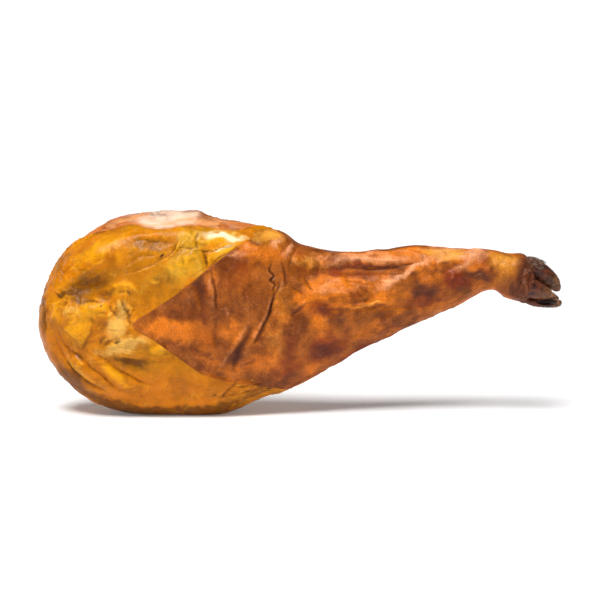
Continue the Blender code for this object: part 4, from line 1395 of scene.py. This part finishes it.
class HamPaints(bpy.types.PropertyGroup):
    """Colours of the ham and its stage."""

    fat: paint("Fat", "Middle tone of the trimmed fat", 196, 120, 4)
    fat_amber: paint("Amber fat", "Deeper orange fat", 194, 110, 6)
    # Also used as painted shade in the hollows.
    fat_olive_and_shade: paint("Olive fat", "Fat in the hollows", 150, 92, 4)
    # Also a painted highlight colour on crests and the glossy band.
    fat_gold_and_highlight: paint("Golden fat", "Bright yellow fat on the crests", 234, 158, 10)
    # Brown threads, and the painted shade of hollows and of the bottom near the ground.
    fat_brown_and_shade: paint("Brown fat", "Dried fat low down and in grooves", 100, 54, 4)
    # Also a painted highlight colour on crests and the glossy band.
    fat_pale_and_highlight: paint("Pale fat", "Pale crinkled fat", 232, 178, 84)
    fat_straw: paint("Straw fat", "Greenish yellow membrane over the fat", 212, 158, 38)
    # Painted highlight: the colour of the white glints on the glossy band.
    fat_painted_glint: paint("Shining fat", "White gloss of greasy membrane", 255, 240, 200)
    lean: paint("Lean", "Middle tone of the lean face on the crest", 222, 150, 92)
    lean_back: paint("Inner lean", "Middle tone of the lean on the inner side", 142, 66, 36)
    lean_dark: paint("Dark lean", "Dark fibres of the lean face", 156, 76, 36)
    lean_rim: paint("Lean border", "Orange-brown border of the lean face", 190, 102, 36)
    lean_bloom: paint("Bloom", "Pale bloom over the lean", 242, 212, 186)
    mould_grey: paint("Grey specks", "Grey specks in the bloom", 138, 120, 106)
    seared: paint("Dry edge", "Red-brown of dried meat", 106, 40, 14)
    soot: paint("Dark spot", "Small dark spots", 46, 30, 16)
    rind: paint("Rind", "Middle tone of the rind", 118, 57, 15)
    rind_light: paint("Light rind", "Lighter tone of the rind", 170, 92, 24)
    rind_glow: paint("Orange rind", "Bright orange rind", 226, 122, 22)
    rind_yellow: paint("Yellow rind", "Yellow skin at the ankle and the crest", 236, 160, 52)
    rind_red: paint("Red rind", "Red-brown patches", 122, 38, 12)
    rind_dark: paint("Dark rind", "Darkest patches and the foot", 80, 38, 26)
    # Partly the skin's own colour, partly a painted highlight colour on crests.
    rind_rosy_and_highlight: paint("Rosy rind", "Pale rosy crests", 238, 162, 112)
    # Painted shade: the colour laid into the creases and along the cut edge.
    seam: paint("Crease", "Deep creases", 78, 34, 12)
    horn: paint("Horn", "Dark horn", 26, 17, 15)
    horn_brown: paint("Brown horn", "Brown horn near the root", 106, 52, 30)
    horn_tan: paint("Worn horn", "Worn tan edges", 168, 118, 76)
    hair: paint("Hair", "Grey hair", 170, 154, 136)
    floor: paint("Floor", "Pale floor", 248, 248, 248)


class HamStage(bpy.types.PropertyGroup):
    """Camera and light."""

    elevation: bpy.props.FloatProperty(
        name="Elevation", description="Angle of the camera over the horizon", default=math.radians(7),
        min=0.0, max=math.radians(80), subtype="ANGLE", unit="ROTATION",
    )
    distance: bpy.props.FloatProperty(
        name="Distance", description="Camera to the ham's middle", default=2.6, min=1.0, max=10.0,
        subtype="DISTANCE", unit="LENGTH",
    )
    lens: bpy.props.FloatProperty(
        name="Lens", description="Focal length in millimetres", default=113.0, min=20.0, max=300.0,
        subtype="DISTANCE_CAMERA", unit="CAMERA",
    )
    headroom: bpy.props.FloatProperty(
        name="Headroom", description="How far the camera aims over the ham's middle", default=0.017,
        min=-0.2, max=0.2, subtype="DISTANCE", unit="LENGTH",
    )
    sun: number("Sun", "Strength of the soft overhead light, in W per square metre", 3.2, 0.0, 20.0)
    softbox: number("Softbox", "Power of the upper left softbox, in W", 8.0, 0.0, 500.0)
    fill: number("Fill", "Power of the front fill light, in W", 3.0, 0.0, 500.0)
    sky: number("Sky", "Strength of the studio's walls", 0.12, 0.0, 2.0)


# ---------------------------------------------------------------------------------------------
# Operators and panel
# ---------------------------------------------------------------------------------------------


class HAM_OT_fat(bpy.types.Operator):
    """Make the trimmed fat with the lean face"""

    bl_idname = "ham.fat"
    bl_label = "Fat and lean"

    def execute(self, context):
        scene = context.scene
        mesh = fat_mesh(scene.ham_shape)
        add_piece("fat_and_lean", mesh, fat_material(scene.ham_paints), "ham_rind_and_fat", "leg")
        return {"FINISHED"}


class HAM_OT_rind(bpy.types.Operator):
    """Make the rind from its cut edge to the foot"""

    bl_idname = "ham.rind"
    bl_label = "Rind"

    def execute(self, context):
        scene = context.scene
        mesh = rind_mesh(scene.ham_shape)
        add_piece("rind", mesh, rind_material(scene.ham_paints), "ham_rind_and_fat", "leg")
        return {"FINISHED"}


class HAM_OT_claws(bpy.types.Operator):
    """Make the four horn claws"""

    bl_idname = "ham.claws"
    bl_label = "Claws"

    def execute(self, context):
        scene = context.scene
        material = horn_material(scene.ham_paints)
        for name in CLAWS:
            add_piece(name + "_horn", claw_mesh(name, scene.ham_shape), material, "horn", name)
        return {"FINISHED"}


class HAM_OT_hair(bpy.types.Operator):
    """Make the grey hair over the claws"""

    bl_idname = "ham.hair"
    bl_label = "Hair"

    def execute(self, context):
        scene = context.scene
        mesh = hair_mesh(scene.ham_shape)
        add_piece("coronet_hair", mesh, hair_material(scene.ham_paints), "ham_rind_and_fat")
        return {"FINISHED"}


FLOOR_REACH = 40.0
FLOOR_DROP = 0.0004
# Places of the lamps from the ham's middle, and the widths and depths of their faces.
SUN_PLACE = Vector((-0.4, -0.9, 2.4))
SUN_ANGLE = math.radians(30)
SOFTBOX_PLACE = Vector((-0.7, -0.9, 1.35))
SOFTBOX_SIZE = (0.6, 0.35)
FILL_PLACE = Vector((-0.3, -2.3, 0.5))
FILL_SIZE = (1.6, 0.8)
SENSOR_WIDTH = 36.0
# The sky brightens towards the horizon behind the ham, between these parts of the direction.
SKY_LOW_Z = (0.10, 0.40)
SKY_BEHIND_Y = (0.1, 0.6)
HORIZON = 1.05


class HAM_OT_stage(bpy.types.Operator):
    """Make the floor, the light and the camera"""

    bl_idname = "ham.stage"
    bl_label = "Stage"

    def execute(self, context):
        scene = context.scene
        stage = scene.ham_stage
        low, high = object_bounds()
        middle = (low + high) / 2
        make_floor(scene.ham_paints, low.z)
        make_light(stage, middle)
        make_camera(stage, middle)
        scene.view_settings.view_transform = "Standard"
        return {"FINISHED"}


def make_floor(paints, level):
    """A large square floor under the ham."""
    mesh = bpy.data.meshes.new("studio_floor")
    signs = ((-1, -1), (1, -1), (1, 1), (-1, 1))
    corners = [(x * FLOOR_REACH, y * FLOOR_REACH, level - FLOOR_DROP) for x, y in signs]
    mesh.from_pydata(corners, [], [(0, 1, 2, 3)])
    mesh.materials.append(floor_material(paints))
    floor = bpy.data.objects.new("studio_floor", mesh)
    bpy.context.scene.collection.objects.link(floor)
    floor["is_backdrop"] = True


def aimed(name, data, place, target):
    """A lamp or camera at a place, turned to look at a target."""
    made = bpy.data.objects.new(name, data)
    made.location = place
    made.rotation_mode = "QUATERNION"
    made.rotation_quaternion = (Vector(target) - Vector(place)).to_track_quat("-Z", "Y")
    bpy.context.scene.collection.objects.link(made)
    return made


def softbox(name, energy, size, place, target):
    """A white rectangular area light."""
    data = bpy.data.lights.new(name, "AREA")
    data.shape = "RECTANGLE"
    data.size, data.size_y = size
    data.energy = energy
    return aimed(name, data, place, target)


def faded(tree, value, between, results):
    """A value carried from one range to another, held at its ends."""
    made = tree.nodes.new("ShaderNodeMapRange")
    for socket, limit in zip(RANGE_SOCKETS, (*between, *results)):
        made.inputs[socket].default_value = limit
    tree.links.new(value, made.inputs["Value"])
    return made.outputs["Result"]


def make_light(stage, middle):
    """A soft overhead sun, a softbox at the upper left, a front fill and a sky bright at the horizon."""
    sun = bpy.data.lights.new("overhead", "SUN")
    sun.energy = stage.sun
    sun.angle = SUN_ANGLE
    aimed("overhead", sun, middle + SUN_PLACE, middle)
    softbox("softbox_upper_left", stage.softbox, SOFTBOX_SIZE, middle + SOFTBOX_PLACE, middle)
    softbox("front_fill", stage.fill, FILL_SIZE, middle + FILL_PLACE, middle)
    world = bpy.data.worlds.new("studio_sky")
    world.use_nodes = True
    tree = world.node_tree
    place = tree.nodes.new("ShaderNodeTexCoord")
    split = tree.nodes.new("ShaderNodeSeparateXYZ")
    low = faded(tree, split.outputs["Z"], SKY_LOW_Z, (1.0, 0.0))
    behind = faded(tree, split.outputs["Y"], SKY_BEHIND_Y, (0.0, HORIZON - stage.sky))
    backdrop = tree.nodes.new("ShaderNodeMath")
    backdrop.operation = "MULTIPLY_ADD"
    backdrop.inputs[2].default_value = stage.sky
    background = tree.nodes["Background"]
    background.inputs["Color"].default_value = (1, 1, 1, 1)
    tree.links.new(place.outputs["Generated"], split.inputs["Vector"])
    tree.links.new(low, backdrop.inputs[0])
    tree.links.new(behind, backdrop.inputs[1])
    tree.links.new(backdrop.outputs[0], background.inputs["Strength"])
    bpy.context.scene.world = world


def make_camera(stage, middle):
    """The camera looks along +Y, a little down, at a point just over the ham's middle."""
    data = bpy.data.cameras.new("camera")
    data.lens = stage.lens
    data.sensor_width = SENSOR_WIDTH
    data.clip_end = 200.0
    target = middle + Vector((0, 0, stage.headroom))
    back = Vector((0, -math.cos(stage.elevation), math.sin(stage.elevation)))
    bpy.context.scene.camera = aimed("camera", data, target + back * stage.distance, target)


class HAM_PT_panel(bpy.types.Panel):
    """Sidebar panel that lists the ham's pieces"""

    bl_label = "Cured ham"
    bl_idname = "HAM_PT_panel"
    bl_space_type = "VIEW_3D"
    bl_region_type = "UI"
    bl_category = "Ham"

    def draw(self, context):
        for operator in OPERATORS:
            self.layout.operator(operator.bl_idname)
        for settings in (context.scene.ham_shape, context.scene.ham_paints, context.scene.ham_stage):
            box = self.layout.box()
            for name in settings.__annotations__:
                box.prop(settings, name)


OPERATORS = (HAM_OT_fat, HAM_OT_rind, HAM_OT_claws, HAM_OT_hair, HAM_OT_stage)
CLASSES = (HamShape, HamPaints, HamStage, *OPERATORS, HAM_PT_panel)


def register():
    """Adds the classes and the scene's three groups of settings."""
    for made in CLASSES:
        bpy.utils.register_class(made)
    bpy.types.Scene.ham_shape = bpy.props.PointerProperty(type=HamShape)
    bpy.types.Scene.ham_paints = bpy.props.PointerProperty(type=HamPaints)
    bpy.types.Scene.ham_stage = bpy.props.PointerProperty(type=HamStage)


def unregister():
    """Takes away what register adds."""
    del bpy.types.Scene.ham_stage
    del bpy.types.Scene.ham_paints
    del bpy.types.Scene.ham_shape
    for made in reversed(CLASSES):
        bpy.utils.unregister_class(made)


def main():
    """Makes every piece and the stage."""
    register()
    bpy.ops.ham.fat()
    bpy.ops.ham.rind()
    bpy.ops.ham.claws()
    bpy.ops.ham.hair()
    bpy.ops.ham.stage()


if __name__ == "__main__":
    main()
